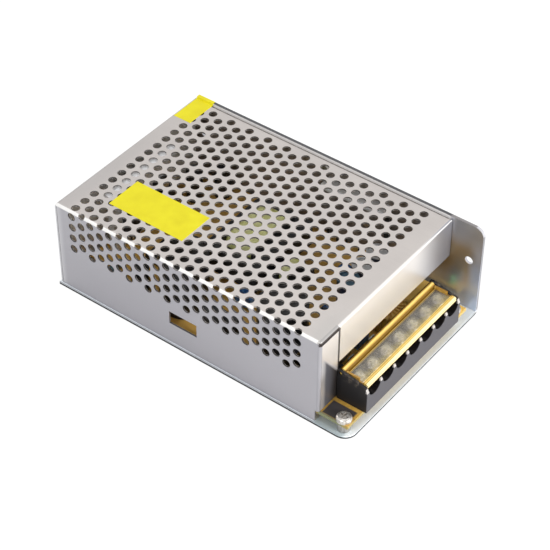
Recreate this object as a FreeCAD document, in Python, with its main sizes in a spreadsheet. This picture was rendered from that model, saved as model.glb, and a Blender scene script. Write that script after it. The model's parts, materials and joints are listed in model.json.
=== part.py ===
import FreeCAD, Part
import math
import os
import Sketcher

# A mains power supply in a perforated sheet-metal case.
# X runs along the case, with the terminal end at +X. The perforated side is at -Y,
# the solid wall that carries the power devices is at +Y, and the base rests on Z = 0.

SIZES = {
    # Chassis: base plate and one full-height wall, folded from one sheet
    "case_length": 158.0,
    "case_width": 98.0,
    "wall_height": 48.0,
    "chassis_sheet": 1.5,
    "chassis_bend": 0.6,
    "base_corner_round": 6.0,
    "wall_corner_round": 4.5,
    # Cover: one perforated sheet with four folded sides
    "cover_sheet": 0.8,
    "cover_top": 47.1,
    "cover_bend": 1.3,
    "cover_end_inset": 1.0,
    "cover_side_inset": 0.6,
    "cover_wall_gap": 0.3,
    "terminal_bay": 15.5,
    "lip_edge": 26.5,
    "flange_width": 12.9,
    "flange_gap": 0.7,
    "flange_foot": 7.6,
    "notch_depth": 1.9,
    "hem_height": 7.0,
    "foot_width": 6.0,
    "foot_end_gap": 4.0,
    "seam_gap": 0.25,
    "hole_pitch": 6.05,
    "hole_diameter": 4.0,
    "first_column": 9.4,
    "column_pairs": 12,
    "top_rows": 15,
    "side_rows": 4,
    "window_start": 62.6,
    "window_length": 14.9,
    "window_sill": 12.5,
    "window_height": 6.8,
    # Screws that hold the case together
    "case_screw_diameter": 3.0,
    "case_screw_head": 5.6,
    "case_screw_reach": 4.4,
    "screw_fit": 0.1,
    "thread_fit": 0.05,
    "burr_wall": 0.8,
    "burr_height": 1.4,
    "hem_screw_closed_gap": 18.0,
    "hem_screw_lip_gap": 7.5,
    "hem_screw_drop": 3.4,
    "foot_screw_x": 45.0,
    "sunk_recess_share": 0.6,
    "pan_recess_share": 0.55,
    "pan_crown_share": 0.6,
    # Holes for fixing the supply to a panel
    "base_hole_x": 117.0,
    "base_hole_y": 60.0,
    "wall_hole_x": 146.0,
    "wall_hole_height": 28.5,
    "fixing_hole": 4.0,
    # Circuit board, its insulating sheet and its standoffs
    "sheet_thickness": 0.3,
    "sheet_end_gap": 3.0,
    "sheet_near_gap": 0.5,
    "sheet_far_gap": 1.5,
    "sheet_post_gap": 0.3,
    "sheet_fixing_gap": 2.0,
    "standoff_height": 3.9,
    "standoff_diameter": 5.6,
    "board_thickness": 1.6,
    "board_end_gap": 1.7,
    "board_closed_gap": 2.6,
    "board_side_gap": 0.3,
    "board_wall_gap": 1.5,
    "board_notch_length": 9.0,
    "board_notch_depth": 4.2,
    "board_screw_diameter": 3.0,
    "board_screw_head": 6.9,
    "board_screw_head_height": 2.2,
    "board_screw_near_y": 44.5,
    "board_screw_far_y": 40.0,
    "board_screw_block_gap": 4.1,
    "board_screw_inset_x": 3.7,
    "board_screw_closed_x": 72.0,
    "board_screw_closed_near_y": 37.0,
    "recess_width": 0.8,
    "recess_depth": 1.2,
    # Terminal block
    "way_count": 7,
    "way_pitch": 9.7,
    "barrier_wall": 1.3,
    "block_start": 12.6,
    "block_depth": 15.1,
    "block_top": 23.2,
    "block_front_top": 20.5,
    "block_front_corner": 18.4,
    "block_front_flat": 1.0,
    "barrier_top": 19.3,
    "block_rear_wall": 1.6,
    "seat_floor": 15.8,
    "seat_depth": 10.3,
    "mouth_floor": 14.8,
    "plate_thickness": 0.8,
    "plate_length": 8.6,
    "plate_width": 7.4,
    "pin_size": 1.0,
    "pin_fit": 0.15,
    "pin_reach": 2.4,
    "terminal_screw_setback": 0.5,
    "well_fit": 0.3,
    "terminal_screw_diameter": 3.5,
    "terminal_screw_head": 6.4,
    "terminal_screw_head_height": 2.3,
    "terminal_screw_reach": 6.0,
    "washer_side": 7.2,
    "washer_thickness": 0.7,
    # Clear cover over the terminals
    "hinge_rise": 21.9,
    "hinge_setback": 1.9,
    "hinge_barrel": 3.2,
    "hinge_pin": 1.5,
    "hinge_play": 0.1,
    "hinge_pin_length": 1.1,
    "flap_end_gap": 0.4,
    "flap_underside": 20.0,
    "flap_thickness": 1.0,
    "flap_reach": 12.5,
    "flap_bar_width": 2.4,
    "flap_bar_top": 21.6,
    "flap_bar_bottom": 19.6,
    "flap_rib_thickness": 0.9,
    "flap_rib_length": 6.5,
    "flap_rib_top": 22.6,
    "flap_bar_chamfer": 0.6,
    "detent_radius": 0.8,
    "detent_setback": 4.6,
    "detent_height": 21.8,
    # Voltage trimmer and status lamp
    "trimmer_x": 63.0,
    "trimmer_y": 37.0,
    "trimmer_depth": 5.0,
    "trimmer_side": 6.6,
    "rotor_radius": 2.1,
    "rotor_depth": 1.2,
    "rotor_gap": 0.3,
    "rotor_pivot": 1.4,
    "rotor_slot": 0.6,
    "rotor_slot_depth": 0.6,
    "lamp_x": 63.0,
    "lamp_y": 42.5,
    "lamp_radius": 1.5,
    "lamp_height": 2.0,
    "lamp_lift": 0.5,
    "lamp_collar": 0.3,
    "lamp_collar_height": 0.6,
    # Wound parts
    "core_length": 29.0,
    "core_width": 41.0,
    "core_thickness": 13.0,
    "core_back": 6.0,
    "core_leg_share": 0.8,
    "core_post_share": 0.15,
    "transformer_x": -10.5,
    "transformer_y": 7.5,
    "winding_height": 23.5,
    "winding_lift": 2.5,
    "former_wall": 0.8,
    "coil_gap": 0.4,
    "coil_round": 3.0,
    "small_core_x": 11.5,
    "small_core_y": 2.0,
    "small_core_length": 13.0,
    "small_core_width": 17.0,
    "small_core_thickness": 5.0,
    "small_core_back": 3.0,
    "small_winding_height": 16.0,
    "choke_x": 54.0,
    "choke_y": 14.0,
    "choke_outer": 17.0,
    "choke_inner": 8.0,
    "choke_thickness": 8.0,
    "choke_wire": 1.0,
    "choke_turns": 16,
    "filter_x": 52.5,
    "filter_y": -33.0,
    "filter_width": 14.0,
    "filter_length": 20.0,
    "filter_height": 20.0,
    "filter_bar": 4.4,
    "coil_build": 2.2,
    # Capacitors
    "input_cap_diameter": 22.0,
    "input_cap_height": 30.0,
    "input_cap_1_x": -22.0,
    "input_cap_2_x": 31.0,
    "input_cap_y": -30.0,
    "output_cap_diameter": 10.0,
    "output_cap_height": 20.0,
    "output_cap_x": 37.5,
    "output_cap_y": 8.0,
    "output_cap_pitch": 11.0,
    "can_dish": 0.4,
    "can_rim": 0.9,
    "groove_share": 0.02,
    "groove_rise_share": 0.08,
    "groove_width_share": 0.05,
    "control_cap_diameter": 8.0,
    "control_cap_height": 16.0,
    "disc_diameter": 9.0,
    "disc_thickness": 3.4,
    "disc_lift": 2.0,
    "film_x": 50.5,
    "film_y": -4.1,
    "film_width": 8.4,
    "film_length": 8.4,
    "film_height": 14.0,
    # Fuse, surge limiter, bridge, control chip and resistors
    "fuse_x": 60.4,
    "fuse_y": -10.0,
    "fuse_diameter": 5.2,
    "fuse_length": 20.0,
    "fuse_cap": 5.0,
    "fuse_lift": 1.2,
    "fuse_glass_inset": 0.2,
    "clip_inset": 0.5,
    "clip_rise_share": 0.5,
    "surge_x": 52.5,
    "surge_y": -14.5,
    "surge_diameter": 11.0,
    "bridge_x": 4.5,
    "bridge_y": -39.0,
    "bridge_width": 20.0,
    "bridge_thickness": 3.6,
    "bridge_height": 15.0,
    "chip_x": -50.0,
    "chip_y": -10.0,
    "chip_width": 6.4,
    "chip_length": 19.3,
    "chip_height": 3.3,
    "chip_lift": 0.8,
    "resistor_diameter": 3.6,
    "resistor_length": 11.0,
    "resistor_reach": 2.0,
    # Power devices and the metal that cools them
    "rectifier_width": 15.6,
    "rectifier_height": 20.0,
    "rectifier_thickness": 5.0,
    "rectifier_x": 15.5,
    "rectifier_pitch": 17.0,
    "rectifier_foot": 14.5,
    "rectifier_hole_drop": 6.0,
    "pad_thickness": 0.3,
    "pad_margin": 0.5,
    "bracket_length": 34.0,
    "bracket_sheet": 2.0,
    "bracket_bend": 1.6,
    "bracket_foot": 16.0,
    "bracket_top": 38.0,
    "sink_x": -70.0,
    "sink_y": -2.0,
    "sink_length": 44.0,
    "sink_sheet": 2.5,
    "sink_top": 40.0,
    "switch_width": 10.2,
    "switch_height": 15.5,
    "switch_body_height": 9.3,
    "switch_screw_head_height": 1.8,
    "switch_screw_tip": 0.5,
    "switch_thickness": 4.5,
    "switch_pitch": 21.0,
    "switch_foot": 14.0,
    "switch_hole_drop": 3.0,
    "lead_width": 0.9,
    "lead_thickness": 0.5,
    "lead_pitch": 2.54,
    "lead_inset": 2.6,
    "lead_overlap": 1.0,
    "tab_thickness": 1.3,
    # Stickers
    "sticker": 0.1,
    "label_start": 18.7,
    "label_side": 14.1,
    "label_length": 40.3,
    "label_width": 18.8,
    "seal_start": 1.2,
    "seal_width": 9.4,
    "seal_reach": 18.3,
    "seal_drop": 6.0,
}

# How far a cutting tool runs past the face it opens
OVER = 1.0

# Small parts by their places on the board
CONTROL_CAPS = [(-63.5, 28.0), (-40.0, -38.0), (-55.0, 38.0)]
DISC_CAPS = [(0.5, -17.0), (26.5, 22.0), (36.0, -3.0)]
RESISTORS = [(-60.0, -34.0), (-30.0, 36.0), (-20.0, 38.0), (48.0, 36.0)]

doc = FreeCAD.newDocument("MeshCasePowerSupply")
sheet = doc.addObject("Spreadsheet::Sheet", "Sizes")
for row, (alias, value) in enumerate(SIZES.items(), start=1):
    sheet.set(f"A{row}", alias.replace("_", " "))
    sheet.set(f"B{row}", str(value))
    sheet.setAlias(f"B{row}", alias)
doc.recompute()


class Size:
    """A length or count that carries the formula it was worked out by."""

    def __init__(self, value, text):
        self.value = float(value)
        self.text = text

    def __add__(self, other):
        other = as_size(other)
        return Size(self.value + other.value, f"({self.text} + {other.text})")

    def __sub__(self, other):
        other = as_size(other)
        return Size(self.value - other.value, f"({self.text} - {other.text})")

    def __mul__(self, other):
        other = as_size(other)
        return Size(self.value * other.value, f"({self.text} * {other.text})")

    def __truediv__(self, other):
        other = as_size(other)
        return Size(self.value / other.value, f"({self.text} / {other.text})")

    def __radd__(self, other):
        return as_size(other) + self

    def __rsub__(self, other):
        return as_size(other) - self

    def __rmul__(self, other):
        return as_size(other) * self

    def __neg__(self):
        return Size(-self.value, f"(-1 * {self.text})")


def as_size(value):
    return value if isinstance(value, Size) else Size(value, f"{float(value):.6f}")


class Sheet:
    """The driving sizes by name, each tied to its cell."""

    def __getattr__(self, alias):
        return Size(sheet.get(alias), f"Sizes.{alias}")


d = Sheet()
nodes = []


# Helpers

def bind(thing, **formulas):
    for name, size in formulas.items():
        thing.setExpression(name, as_size(size).text)


def move(thing, x, y, z):
    for axis, size in zip("xyz", (x, y, z)):
        thing.setExpression(f"Placement.Base.{axis}", as_size(size).text)
    return thing


TURNS = {
    "x": FreeCAD.Rotation(FreeCAD.Vector(0, 1, 0), 90),
    "y": FreeCAD.Rotation(FreeCAD.Vector(1, 0, 0), -90),
    "z": FreeCAD.Rotation(),
}


def turn(thing, axis):
    thing.Placement = FreeCAD.Placement(FreeCAD.Vector(), TURNS[axis])


def box(name, low, high):
    """A block between two corners."""
    solid = doc.addObject("Part::Box", name)
    size_box(solid, low, high)
    return solid


def size_box(solid, low, high):
    sides = [as_size(b) - as_size(a) for a, b in zip(low, high)]
    bind(solid, Length=sides[0], Width=sides[1], Height=sides[2])
    move(solid, *low)


def rod(name, start, radius, length, axis="z"):
    """A cylinder from the centre of its first face, along an axis."""
    solid = doc.addObject("Part::Cylinder", name)
    turn(solid, axis)
    bind(solid, Radius=radius, Height=length)
    move(solid, *start)
    return solid


def cone(name, start, first_radius, last_radius, length, axis="z"):
    solid = doc.addObject("Part::Cone", name)
    turn(solid, axis)
    bind(solid, Radius1=first_radius, Radius2=last_radius, Height=length)
    move(solid, *start)
    return solid


def cut(name, base, tools):
    result = doc.addObject("Part::Cut", name)
    result.Base = base
    result.Tool = tools[0] if len(tools) == 1 else fuse(name + "_tools", tools)
    return result


def fuse(name, parts):
    result = doc.addObject("Part::MultiFuse", name)
    result.Shapes = parts
    return result


def group(label, parts):
    """Separate alike solids that share one node."""
    return node(compound(label + "_group", parts), label)


def node(thing, label):
    thing.Label = label
    nodes.append(thing)
    return thing


def new_body(label):
    body = doc.addObject("PartDesign::Body", label + "_body")
    return node(body, label)


def compound(name, parts):
    result = doc.addObject("Part::Compound", name)
    result.Links = parts
    return result


def plane_of(body, role):
    return [feature for feature in body.Origin.OriginFeatures if feature.Role == role][0]


def sketch(body, name, role, offset=0):
    """A sketch on one of the body's own planes, moved along that plane's normal."""
    drawing = body.newObject("Sketcher::SketchObject", name)
    drawing.AttachmentSupport = [(plane_of(body, role), "")]
    drawing.MapMode = "FlatFace"
    drawing.setExpression("AttachmentOffset.Base.z", as_size(offset).text)
    return drawing


def tie_point(drawing, geometry, point, position):
    """Hold a point at its two distances from the sketch's origin."""
    for kind, size in zip(("DistanceX", "DistanceY"), position):
        size = as_size(size)
        index = drawing.addConstraint(Sketcher.Constraint(kind, -1, 1, geometry, point, size.value))
        drawing.setExpression(f"Constraints[{index}]", size.text)


def outline(drawing, points):
    """A closed outline of straight lines through the points."""
    corners = [FreeCAD.Vector(as_size(u).value, as_size(v).value, 0) for u, v in points]
    count = len(corners)
    for i in range(count):
        drawing.addGeometry(Part.LineSegment(corners[i], corners[(i + 1) % count]), False)
    for i in range(count):
        drawing.addConstraint(Sketcher.Constraint("Coincident", i, 2, (i + 1) % count, 1))
    for i in range(count):
        tie_point(drawing, i, 1, points[i])


def circle(drawing, centre, radius):
    place = FreeCAD.Vector(as_size(centre[0]).value, as_size(centre[1]).value, 0)
    ring = Part.Circle(place, FreeCAD.Vector(0, 0, 1), as_size(radius).value)
    index = drawing.addGeometry(ring, False)
    tie_point(drawing, index, 3, centre)
    held = drawing.addConstraint(Sketcher.Constraint("Radius", index, as_size(radius).value))
    drawing.setExpression(f"Constraints[{held}]", as_size(radius).text)


def pad(body, drawing, length):
    feature = body.newObject("PartDesign::Pad", drawing.Name + "_pad")
    feature.Profile = drawing
    bind(feature, Length=length)
    body.Tip = feature
    return feature


def pocket(body, drawing, length):
    feature = body.newObject("PartDesign::Pocket", drawing.Name + "_pocket")
    feature.Profile = drawing
    bind(feature, Length=length)
    body.Tip = feature
    return feature


def block(body, name, low, high, take=False):
    """A plain block added to a body, or taken from it."""
    kind = "SubtractiveBox" if take else "AdditiveBox"
    feature = body.newObject(f"PartDesign::{kind}", name)
    size_box(feature, low, high)
    body.Tip = feature
    return feature


def bore(body, name, start, radius, length, axis="z", take=True):
    """A round hole taken from a body, or a round boss added to it."""
    kind = "SubtractiveCylinder" if take else "AdditiveCylinder"
    feature = body.newObject(f"PartDesign::{kind}", name)
    turn(feature, axis)
    bind(feature, Radius=radius, Height=length)
    move(feature, *start)
    body.Tip = feature
    return feature


def sink(body, name, start, first_radius, last_radius, length, axis="z"):
    """A conical seat for a countersunk head."""
    feature = body.newObject("PartDesign::SubtractiveCone", name)
    turn(feature, axis)
    bind(feature, Radius1=first_radius, Radius2=last_radius, Height=length)
    move(feature, *start)
    body.Tip = feature
    return feature


def rows(body, name, originals, axis_role, pitch, count, second=None):
    """Repeat features along one or two of the body's axes."""
    doc.recompute()
    pattern = body.newObject("PartDesign::MultiTransform", name)
    pattern.Originals = originals
    runs = [(axis_role, pitch, count)]
    if second:
        runs.append(second)
    steps = []
    for number, (role, step, copies) in enumerate(runs):
        line = doc.addObject("PartDesign::LinearPattern", f"{name}_{number}")
        line.Direction = (plane_of(body, role), [""])
        bind(line, Length=as_size(step) * (as_size(copies) - 1))
        line.Occurrences = int(round(as_size(copies).value))
        steps.append(line)
    pattern.Transformations = steps
    body.Tip = pattern
    return pattern


def edges_at(feature, direction, **places):
    """Names of the straight edges along a direction whose middle lies at the given places."""
    doc.recompute()
    found = []
    for number, edge in enumerate(feature.Shape.Edges, start=1):
        if edge.Curve.TypeId != "Part::GeomLine":
            continue
        along = edge.Curve.Direction
        middle = edge.CenterOfMass
        if abs(abs(getattr(along, direction)) - 1) > 1e-6:
            continue
        if all(abs(getattr(middle, axis) - as_size(size).value) < 1e-4 for axis, size in places.items()):
            found.append(f"Edge{number}")
    if not found:
        raise ValueError(f"no edge for {feature.Name}: {direction} {sorted(places)}")
    return found


def rounding(body, name, feature, edges, radius):
    result = body.newObject("PartDesign::Fillet", name)
    result.Base = (feature, edges)
    bind(result, Radius=radius)
    body.Tip = result
    return result


def cross_recess(name, centre_x, centre_y, top, length, axis="z", sign=1):
    """The cross-shaped socket in a screw's head, open at the head's top."""
    half = length / 2
    thin = d.recess_width / 2
    deep = top - sign * d.recess_depth
    first, last = (deep, top) if sign > 0 else (top, deep)
    arms = []
    for number, (u, v) in enumerate(((half, thin), (thin, half))):
        low = {"z": (centre_x - u, centre_y - v, first), "y": (centre_x - u, first, centre_y - v)}[axis]
        high = {"z": (centre_x + u, centre_y + v, last), "y": (centre_x + u, last, centre_y + v)}[axis]
        arms.append(box(f"{name}_arm_{number}", low, high))
    return arms


# Places shared by several pieces

half_length = d.case_length / 2
half_width = d.case_width / 2
base_top = d.chassis_sheet
wall_inner = half_width - d.chassis_sheet

cover_end = -half_length + d.cover_end_inset
cover_side = -half_width + d.cover_side_inset
cover_far = wall_inner - d.cover_wall_gap
lip_face = half_length - d.terminal_bay
lip_inner = lip_face - d.cover_sheet
flange_edge = cover_side + d.flange_width
top_inner = d.cover_top - d.cover_sheet
side_inner = cover_side + d.cover_sheet
hem_screw_z = d.cover_top - d.hem_screw_drop
foot_top = base_top + d.cover_sheet
foot_edge = side_inner + d.foot_width
foot_screw_y = side_inner + d.foot_width / 2

board_bottom = base_top + d.standoff_height
board_top = board_bottom + d.board_thickness
board_end = half_length - d.board_end_gap
board_closed = cover_end + d.board_closed_gap
board_near = side_inner + d.board_side_gap
board_far = wall_inner - d.board_wall_gap

block_face = half_length
block_rear = block_face - d.block_depth
block_near = -half_width + d.block_start
block_far = block_near + d.way_pitch * d.way_count + d.barrier_wall
way_count = int(d.way_count.value)
way_width = d.way_pitch - d.barrier_wall
first_way = block_near + d.barrier_wall + way_width / 2
plate_top = d.seat_floor + d.plate_thickness
washer_top = plate_top + d.washer_thickness
hinge_x = lip_face + d.hinge_setback
plate_front = block_rear + d.block_rear_wall + d.seat_depth
screw_x = plate_front - d.plate_length / 2 - d.terminal_screw_setback
pin_x = plate_front - d.plate_length + d.pin_size / 2

case_screw_radius = d.case_screw_diameter / 2
head_sink = d.case_screw_head / 2 - case_screw_radius

board_screws = [
    (board_end - d.board_screw_inset_x, -d.board_screw_near_y),
    (board_end - d.board_screw_inset_x, block_far + d.board_screw_block_gap),
    (-d.board_screw_closed_x, -d.board_screw_closed_near_y),
    (-d.board_screw_closed_x, d.board_screw_far_y),
]
base_holes = [(sx * d.base_hole_x / 2, sy * d.base_hole_y / 2) for sx in (-1, 1) for sy in (-1, 1)]
first_hem_screw = cover_end + d.hem_screw_closed_gap
last_hem_screw = lip_face - d.hem_screw_lip_gap
hem_screws = [first_hem_screw, (first_hem_screw + last_hem_screw) / 2, last_hem_screw]
foot_screws = [-d.foot_screw_x, d.foot_screw_x]
rectifier_places = [d.rectifier_x + sign * d.rectifier_pitch / 2 for sign in (-1, 1)]
rectifier_hole_z = d.rectifier_foot + d.rectifier_height - d.rectifier_hole_drop


# The case

def make_chassis():
    """Base plate and solid side wall: one folded sheet."""
    body = new_body("chassis")
    plan = sketch(body, "base_plan", "XY_Plane")
    outline(plan, [(-half_length, -half_width), (half_length, -half_width),
                   (half_length, half_width), (-half_length, half_width)])
    pad(body, plan, d.chassis_sheet)
    side = sketch(body, "wall_side", "XZ_Plane", -half_width)
    outline(side, [(-half_length, 0), (half_length, 0),
                   (half_length, d.wall_height), (-half_length, d.wall_height)])
    folded = pad(body, side, d.chassis_sheet)
    outer = rounding(body, "outer_fold", folded, edges_at(folded, "x", y=half_width, z=0),
                     d.chassis_bend + d.chassis_sheet)
    inner = rounding(body, "inner_fold", outer, edges_at(outer, "x", y=wall_inner, z=base_top),
                     d.chassis_bend)
    corner = rounding(body, "base_corner", inner,
                      edges_at(inner, "z", x=half_length, y=-half_width), d.base_corner_round)
    tops = [name for x in (-half_length, half_length)
            for name in edges_at(corner, "y", x=x, z=d.wall_height)]
    rounding(body, "wall_corners", corner, tops, d.wall_corner_round)
    for number, (x, y) in enumerate(base_holes):
        bore(body, f"base_hole_{number}", (x, y, -OVER), d.fixing_hole / 2, d.chassis_sheet + 2 * OVER)
    for number, x in enumerate(foot_screws):
        bore(body, f"foot_screw_hole_{number}", (x, foot_screw_y, -OVER),
             case_screw_radius + d.screw_fit, d.chassis_sheet + 2 * OVER)
        sink(body, f"foot_screw_sink_{number}", (x, foot_screw_y, 0),
             d.case_screw_head / 2 + d.screw_fit, case_screw_radius + d.screw_fit, head_sink)
    for sign in (-1, 1):
        bore(body, f"wall_hole_{sign + 1}", (sign * d.wall_hole_x / 2, wall_inner - OVER, d.wall_hole_height),
             d.fixing_hole / 2, d.chassis_sheet + 2 * OVER, "y")
    spots = [(x, hem_screw_z) for x in hem_screws] + [(x, rectifier_hole_z) for x in rectifier_places]
    for number, (x, z) in enumerate(spots):
        bore(body, f"wall_screw_hole_{number}", (x, wall_inner - OVER, z),
             case_screw_radius + d.screw_fit, d.chassis_sheet + 2 * OVER, "y")
        sink(body, f"wall_screw_sink_{number}", (x, half_width - head_sink, z),
             case_screw_radius + d.screw_fit, d.case_screw_head / 2 + d.screw_fit, head_sink, "y")


def make_cover():
    """Perforated cover: top, near side, closed end, terminal lip and flange, hem and foot."""
    body = doc.addObject("PartDesign::Body", "cover_sheet")
    plan = sketch(body, "cover_plan", "XY_Plane", base_top)
    outline(plan, [(cover_end, cover_side), (lip_face, cover_side),
                   (lip_face, cover_far), (cover_end, cover_far)])
    raw = pad(body, plan, d.cover_top - base_top)
    folds = (edges_at(raw, "x", y=cover_side, z=d.cover_top) + edges_at(raw, "x", y=cover_far, z=d.cover_top)
             + edges_at(raw, "y", x=cover_end, z=d.cover_top) + edges_at(raw, "y", x=lip_face, z=d.cover_top)
             + edges_at(raw, "z", x=lip_face, y=cover_side))
    rounding(body, "cover_folds", raw, folds, d.cover_bend)
    block(body, "hollow", (cover_end + d.cover_sheet, side_inner, 0),
          (lip_inner, cover_far - d.cover_sheet, top_inner), take=True)
    block(body, "far_side_open", (cover_end + d.cover_sheet, cover_far - d.cover_sheet, 0),
          (lip_inner, half_width, d.cover_top - d.hem_height), take=True)
    block(body, "terminal_opening", (lip_inner, flange_edge + d.flange_gap, 0),
          (half_length, half_width, d.lip_edge), take=True)
    slot_top = d.cover_top - d.cover_bend
    block(body, "flange_side_relief", (lip_inner, flange_edge, 0),
          (half_length, flange_edge + d.flange_gap, slot_top), take=True)
    block(body, "flange_head_relief", (lip_face - d.cover_bend, -half_width, slot_top - d.flange_gap),
          (half_length, flange_edge + d.flange_gap, slot_top), take=True)
    block(body, "corner_notch", (lip_face - d.notch_depth, -half_width, 0),
          (half_length, flange_edge + d.flange_gap, d.flange_foot), take=True)
    block(body, "corner_seam", (cover_end + d.cover_sheet, -half_width, 0),
          (cover_end + d.cover_sheet + d.seam_gap, side_inner, d.cover_top - d.cover_bend), take=True)
    block(body, "foot", (cover_end + d.foot_end_gap, side_inner, base_top),
          (lip_face - d.foot_end_gap, foot_edge, foot_top))
    for number, x in enumerate(foot_screws):
        bore(body, f"foot_burr_{number}", (x, foot_screw_y, foot_top),
             case_screw_radius + d.burr_wall, d.burr_height, take=False)
        bore(body, f"foot_thread_{number}", (x, foot_screw_y, 0),
             case_screw_radius + d.thread_fit, foot_top + d.burr_height + OVER)
    hem_inner = cover_far - d.cover_sheet
    for number, x in enumerate(hem_screws):
        bore(body, f"hem_burr_{number}", (x, hem_inner - d.burr_height, hem_screw_z),
             case_screw_radius + d.burr_wall, d.burr_height, "y", take=False)
        bore(body, f"hem_thread_{number}", (x, hem_inner - d.burr_height - OVER, hem_screw_z),
             case_screw_radius + d.thread_fit, d.burr_height + d.cover_sheet + 2 * OVER, "y")
    block(body, "switch_window", (cover_end + d.window_start, -half_width, d.window_sill),
          (cover_end + d.window_start + d.window_length, side_inner + OVER,
           d.window_sill + d.window_height), take=True)
    perforate(body)


def perforate(folded):
    """Round holes in staggered rows over the top and the near side, with one row on the fold."""
    radius = d.hole_diameter / 2
    through = d.cover_sheet + 2 * OVER
    column = d.hole_pitch * (math.sqrt(3) / 2)
    punches = []
    fold_punches = []
    for number in range(2 * int(d.column_pairs.value)):
        x = cover_end + d.first_column + column * number
        odd = number % 2
        first = d.hole_pitch * ((1 + odd) / 2)
        for step in range(int(d.top_rows.value)):
            y = cover_side + first + d.hole_pitch * step
            punches.append(rod(f"top_{number}_{step}", (x, y, top_inner - OVER), radius, through))
        for step in range(int(d.side_rows.value) - odd):
            z = d.cover_top - first - d.hole_pitch * step
            punches.append(rod(f"side_{number}_{step}", (x, cover_side - OVER, z), radius, through, "y"))
        if odd:
            reach = d.cover_sheet + OVER
            punches.append(rod(f"fold_top_{number}", (x, cover_side, top_inner), radius, reach))
            fold_punches.append(rod(f"fold_side_{number}", (x, cover_side - OVER, d.cover_top), radius, reach, "y"))
    punched = cut("cover_punched", folded, [compound("punches", punches)])
    node(cut("cover_finished", punched, [compound("fold_punches", fold_punches)]), "cover")


def sunk_screw(name, x, y, z, reach, axis):
    """A countersunk screw whose flat head is flush with the outer face."""
    radius = case_screw_radius
    if axis == "z":
        head = cone(name + "_head", (x, y, z), d.case_screw_head / 2, radius, head_sink)
        shank = rod(name + "_shank", (x, y, z + head_sink), radius, reach - head_sink)
        arms = cross_recess(name, x, y, z, d.case_screw_head * d.sunk_recess_share, "z", -1)
    else:
        head = cone(name + "_head", (x, y - head_sink, z), radius, d.case_screw_head / 2, head_sink, "y")
        shank = rod(name + "_shank", (x, y - reach, z), radius, reach - head_sink, "y")
        arms = cross_recess(name, x, z, y, d.case_screw_head * d.sunk_recess_share, "y", 1)
    return cut(name, fuse(name + "_blank", [head, shank]), arms)


def make_case_screws():
    group("cover_base_screws", [sunk_screw(f"foot_screw_{i}", x, foot_screw_y, as_size(0), d.case_screw_reach, "z")
                                for i, x in enumerate(foot_screws)])
    group("cover_wall_screws", [sunk_screw(f"hem_screw_{i}", x, half_width, hem_screw_z, d.case_screw_reach, "y")
                                for i, x in enumerate(hem_screws)])


# Circuit board and what it stands on

def make_board():
    body = new_body("circuit_board")
    plan = sketch(body, "board_plan", "XY_Plane", board_bottom)
    notch_x = board_end - d.board_notch_length
    notch_y = board_far - d.board_notch_depth
    outline(plan, [(board_closed, board_near), (board_end, board_near), (board_end, notch_y),
                   (notch_x, notch_y), (notch_x, board_far), (board_closed, board_far)])
    pad(body, plan, d.board_thickness)
    for number, (x, y) in enumerate(board_screws):
        bore(body, f"board_screw_hole_{number}", (x, y, board_bottom - OVER),
             d.board_screw_diameter / 2 + d.screw_fit, d.board_thickness + 2 * OVER)
    for number in range(way_count):
        bore(body, f"pin_hole_{number}", (pin_x, way_y(number), board_bottom - OVER),
             d.pin_size / math.sqrt(2) + d.pin_fit, d.board_thickness + 2 * OVER)


def make_insulating_sheet():
    low = (board_closed + d.sheet_end_gap, foot_edge + d.sheet_near_gap, base_top)
    high = (board_end - d.sheet_end_gap, wall_inner - d.sheet_far_gap, base_top + d.sheet_thickness)
    holes = [rod(f"sheet_post_hole_{i}", (x, y, 0), d.standoff_diameter / 2 + d.sheet_post_gap, board_bottom)
             for i, (x, y) in enumerate(board_screws)]
    holes += [rod(f"sheet_base_hole_{i}", (x, y, 0), d.fixing_hole / 2 + d.sheet_fixing_gap, board_bottom)
              for i, (x, y) in enumerate(base_holes)]
    node(cut("sheet_cut", box("sheet_blank", low, high), holes), "insulating_sheet")


def pan_screw(name, x, y, seat, head, head_height, shank, reach):
    """A pan-head screw with a cross recess, standing on its seat."""
    crown = doc.addObject("Part::Fillet", name + "_crown")
    crown.Base = rod(name + "_head", (x, y, seat), head / 2, head_height)
    doc.recompute()
    rim = [i for i, edge in enumerate(crown.Base.Shape.Edges, start=1)
           if edge.Closed and edge.CenterOfMass.z > seat.value + 1e-3]
    soft = (head_height * d.pan_crown_share).value
    crown.Edges = [(i, soft, soft) for i in rim]
    stem = rod(name + "_stem", (x, y, seat - reach), shank / 2, reach)
    arms = cross_recess(name, x, y, seat + head_height, head * d.pan_recess_share)
    return cut(name, fuse(name + "_blank", [crown, stem]), arms)


def make_standoffs():
    posts = []
    screws = []
    for number, (x, y) in enumerate(board_screws):
        post = rod(f"post_{number}", (x, y, base_top), d.standoff_diameter / 2, d.standoff_height)
        hole = rod(f"post_hole_{number}", (x, y, base_top), d.board_screw_diameter / 2 + d.thread_fit,
                   d.standoff_height)
        posts.append(cut(f"standoff_{number}", post, [hole]))
        screws.append(pan_screw(f"board_screw_{number}", x, y, board_top, d.board_screw_head,
                                d.board_screw_head_height, d.board_screw_diameter,
                                d.board_thickness + d.standoff_height - d.screw_fit))
    group("board_standoffs", posts)
    group("board_screws", screws)


# Terminals

def way_y(number):
    return first_way + number * d.way_pitch


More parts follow.
